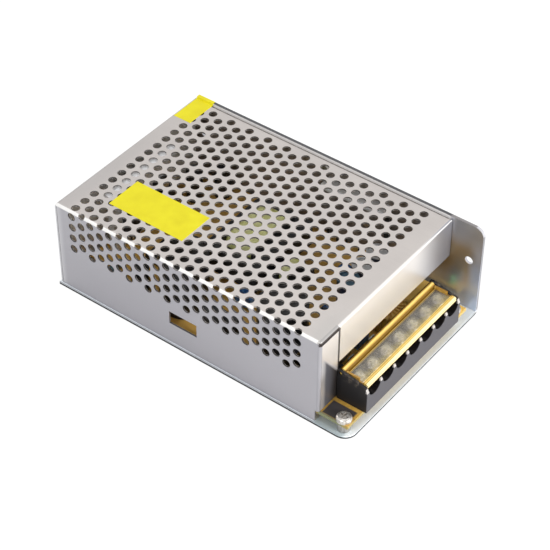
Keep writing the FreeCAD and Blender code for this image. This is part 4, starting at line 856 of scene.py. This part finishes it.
def ring_winding():
    """Heavy wire wound round the ring core."""
    low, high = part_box("output_choke_winding")
    core_low, core_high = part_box("output_choke_core")
    centre = (low + high) / 2
    outer = (core_high.x - core_low.x) / 2
    hole = 4.0 * MM
    wire = 0.5 * MM
    growth = Growth("ring_winding", Turns=20, Finish=FINISHES["copper_wire"],
                    Radius=(outer + hole) / 2, Width=outer - hole + 2 * wire,
                    Height=core_high.z - core_low.z + 2 * wire, Corner=0.9 * MM, Wire=wire)
    upright = growth.node("GeometryNodeTransform", {}, {
        "Geometry": wire_loop(growth, "Height"), "Rotation": (math.pi / 2, 0, 0)})
    points = growth.node("GeometryNodeMeshCircle", {}, {
        "Vertices": growth.given("Turns"), "Radius": growth.given("Radius")})
    place = growth.node("GeometryNodeInputPosition")
    facing = growth.node("FunctionNodeAlignRotationToVector", {"axis": "X"}, {"Vector": place})
    turns = growth.node("GeometryNodeInstanceOnPoints", {}, {
        "Points": points, "Instance": upright, "Rotation": facing})
    piece = placed(growth.grow(turns), "ring_winding", centre)
    finish_piece(piece, "output_choke_winding", "copper_wire")


def stacked_coil(name, count, width, depth, wire):
    """Turns of wire stacked upwards, as a mesh."""
    growth = Growth(name, Turns=count, Finish=FINISHES["copper_wire"], Width=width - 2 * wire,
                    Depth=depth - 2 * wire, Corner=2.2 * MM, Wire=wire, Pitch=2 * wire)
    loop = wire_loop(growth, "Depth")
    offset = growth.node("ShaderNodeCombineXYZ", {}, {2: growth.given("Pitch")})
    points = growth.node("GeometryNodeMeshLine", {}, {
        "Count": growth.given("Turns"), "Offset": offset})
    return growth.grow(growth.node("GeometryNodeInstanceOnPoints", {}, {
        "Points": points, "Instance": loop}))


def choke_windings():
    """Two stacked coils on the mains choke."""
    low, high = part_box("filter_choke_windings")
    middle = (low + high) / 2
    wire = 0.38 * MM
    depth = 8.8 * MM
    count = int((high.z - low.z) / (2 * wire))
    near, far = [stacked_coil(name, count, high.x - low.x, depth, wire)
                 for name in ("near_coil", "far_coil")]
    joined = bmesh.new()
    for mesh, y in ((near, low.y + depth / 2), (far, high.y - depth / 2)):
        mesh.transform(Matrix.Translation((middle.x, y, low.z + wire)))
        joined.from_mesh(mesh)
    joined.to_mesh(near)
    joined.free()
    finish_piece(placed(near, "choke_windings", (0, 0, 0)), "filter_choke_windings",
                 "copper_wire")


def taped_coil(name, node_name, bulge, soft):
    """A taped coil: rounded shoulders, swollen flanks and the step where the tape ends."""
    low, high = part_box(node_name)
    centre = (low + high) / 2
    length = high.x - low.x
    half_y = (high.y - low.y) / 2
    half_z = (high.z - low.z) / 2
    steps_along, steps_round = 14, 72
    squareness = 5.0
    tape = 0.12 * MM
    tape_start, tape_end = 0.9, 2.3

    def ring_point(angle, squeeze, swell):
        c, s = math.cos(angle), math.sin(angle)
        reach = (abs(c) ** squareness + abs(s) ** squareness) ** (-1 / squareness)
        step = tape if tape_start < angle < tape_end else 0.0
        return Vector((0, c * reach * (half_y - squeeze + swell),
                       s * reach * (half_z - squeeze + swell) + step))

    def ring(shape, share):
        middle = Vector((low.x + length * share, centre.y, centre.z))
        edge = min(share, 1 - share) * length
        squeeze = soft * max(0.0, 1 - edge / soft) ** 2 + bulge
        swell = bulge * math.sin(math.pi * share)
        return [shape.verts.new(middle + ring_point(2 * math.pi * j / steps_round, squeeze, swell))
                for j in range(steps_round)]

    def build(shape):
        add_tube(shape, [ring(shape, i / steps_along) for i in range(steps_along + 1)])

    piece = mesh_piece(name, build)
    for face in piece.data.polygons:
        face.use_smooth = len(face.vertices) == 4
    finish_piece(piece, node_name, "yellow_tape")


def sink_flange():
    """The closed-end heatsink's top edge, bent over just under the cover and seen by its holes."""
    low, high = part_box("switch_heatsink")
    climb, reach = 5.6 * MM, 5.0 * MM
    thick, bend = 1.0 * MM, 1.5 * MM
    overhang, far_step = 6.0 * MM, 4.0 * MM
    steps = 5
    foot, top = high.x, high.z + climb
    centre = Vector((foot + bend - thick, 0, top - bend))
    turns = [math.pi / 2 * i / steps for i in range(steps + 1)]
    under = [(centre.x - (bend - thick) * math.cos(turn),
              centre.z + (bend - thick) * math.sin(turn)) for turn in turns]
    over = [(centre.x - bend * math.sin(turn), centre.z + bend * math.cos(turn))
            for turn in turns]
    profile = [(foot - thick, high.z), (foot, high.z), *under,
               (foot + reach, top - thick), (foot + reach, top), *over]

    def build(shape):
        add_tube(shape, [[shape.verts.new((x, y, z)) for x, z in profile]
                         for y in (low.y - overhang, high.y - far_step)])

    piece = mesh_piece("sink_flange", build)
    piece.data.materials.append(FINISHES["sink_metal"])
    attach(piece, CASE)


# Studio

def set_camera():
    """The photo's own viewpoint."""
    place = (0.35599, -0.46999, 0.55024)
    azimuth, elevation, roll = 36.80, 42.30, 0.53
    lens, sensor = 118.99, 36.0
    nearest, farthest = 0.01, 20.0
    data = bpy.data.cameras.new("camera")
    data.lens = lens
    data.sensor_width = sensor
    data.clip_start, data.clip_end = nearest, farthest
    camera = in_scene("camera", data)
    turn = (Matrix.Rotation(math.radians(azimuth), 4, "Z")
            @ Matrix.Rotation(math.radians(90 - elevation), 4, "X")
            @ Matrix.Rotation(math.radians(roll), 4, "Z"))
    camera.matrix_world = Matrix.Translation(place) @ turn
    bpy.context.scene.camera = camera
    bpy.context.scene.view_settings.view_transform = "Standard"


def seen_directly(f):
    """1 for what the camera sees, straight or by way of metal and glass."""
    straight, by_metal, by_glass = [f.node("ShaderNodeLightPath", out=name) for name in (
        "Is Camera Ray", "Is Glossy Ray", "Is Transmission Ray")]
    return straight.larger(by_metal).larger(by_glass)


def set_world(fill=0.55):
    """White to the eye, and a softer light on the part."""
    world = bpy.data.worlds.new("studio")
    world.use_nodes = True
    bpy.context.scene.world = world
    f = Finish("studio", world.node_tree)
    light = f.node("ShaderNodeBackground", {}, {
        "Color": (1.0, 1.0, 1.0), "Strength": fill + seen_directly(f) * (1 - fill)})
    f.close(light, "ShaderNodeOutputWorld")


def set_floor(size=3.0, drop=0.0002, whiten=0.86, glow=1.08):
    """A pale floor that stays white to the eye and keeps a faint shadow."""
    corner = size / 2

    def build(shape):
        shape.faces.new([shape.verts.new((x, y, -drop)) for x, y in (
            (-corner, -corner), (corner, -corner), (corner, corner), (-corner, corner))])

    floor = mesh_piece("floor", build)
    f = Finish("floor")
    seen = f.node("ShaderNodeLightPath", out="Is Camera Ray")
    plain = f.node("ShaderNodeBsdfDiffuse", {}, {"Color": (0.92, 0.92, 0.92)})
    white = f.node("ShaderNodeEmission", {}, {"Color": (1.0, 1.0, 1.0), "Strength": glow})
    f.close(f.node("ShaderNodeMixShader", {}, {0: seen * whiten, 1: plain, 2: white}))
    floor.data.materials.append(f.material)


def add_lamp(name, place, size, watts, colour=(1.0, 1.0, 1.0)):
    """A soft lamp that points at the middle of the part."""
    target = (0.0, 0.0, 0.02)
    data = bpy.data.lights.new(name, "AREA")
    data.shape = "RECTANGLE"
    data.size, data.size_y = size
    data.energy = watts
    data.color = colour
    lamp = in_scene(name, data)
    away = Vector(target) - Vector(place)
    turn = away.to_track_quat("-Z", "Y").to_matrix().to_4x4()
    lamp.matrix_world = Matrix.Translation(place) @ turn


def set_lamps():
    add_lamp("key", (1.20, 0.05, 0.35), size=(0.5, 0.4), watts=15.0, colour=(1.0, 0.985, 0.96))
    add_lamp("top", (-0.25, 0.25, 1.10), size=(0.9, 0.9), watts=1.8)
    add_lamp("fill", (0.0, -0.90, 0.80), size=(0.35, 0.3), watts=3.6, colour=(0.97, 0.98, 1.0))


set_camera()
set_world()
set_floor()
set_lamps()
dress_nodes()
ring_winding()
choke_windings()
sink_flange()
taped_coil("main_coil", "main_transformer_winding", bulge=0.25 * MM, soft=1.2 * MM)
taped_coil("small_coil", "small_transformer_winding", bulge=0.15 * MM, soft=0.7 * MM)
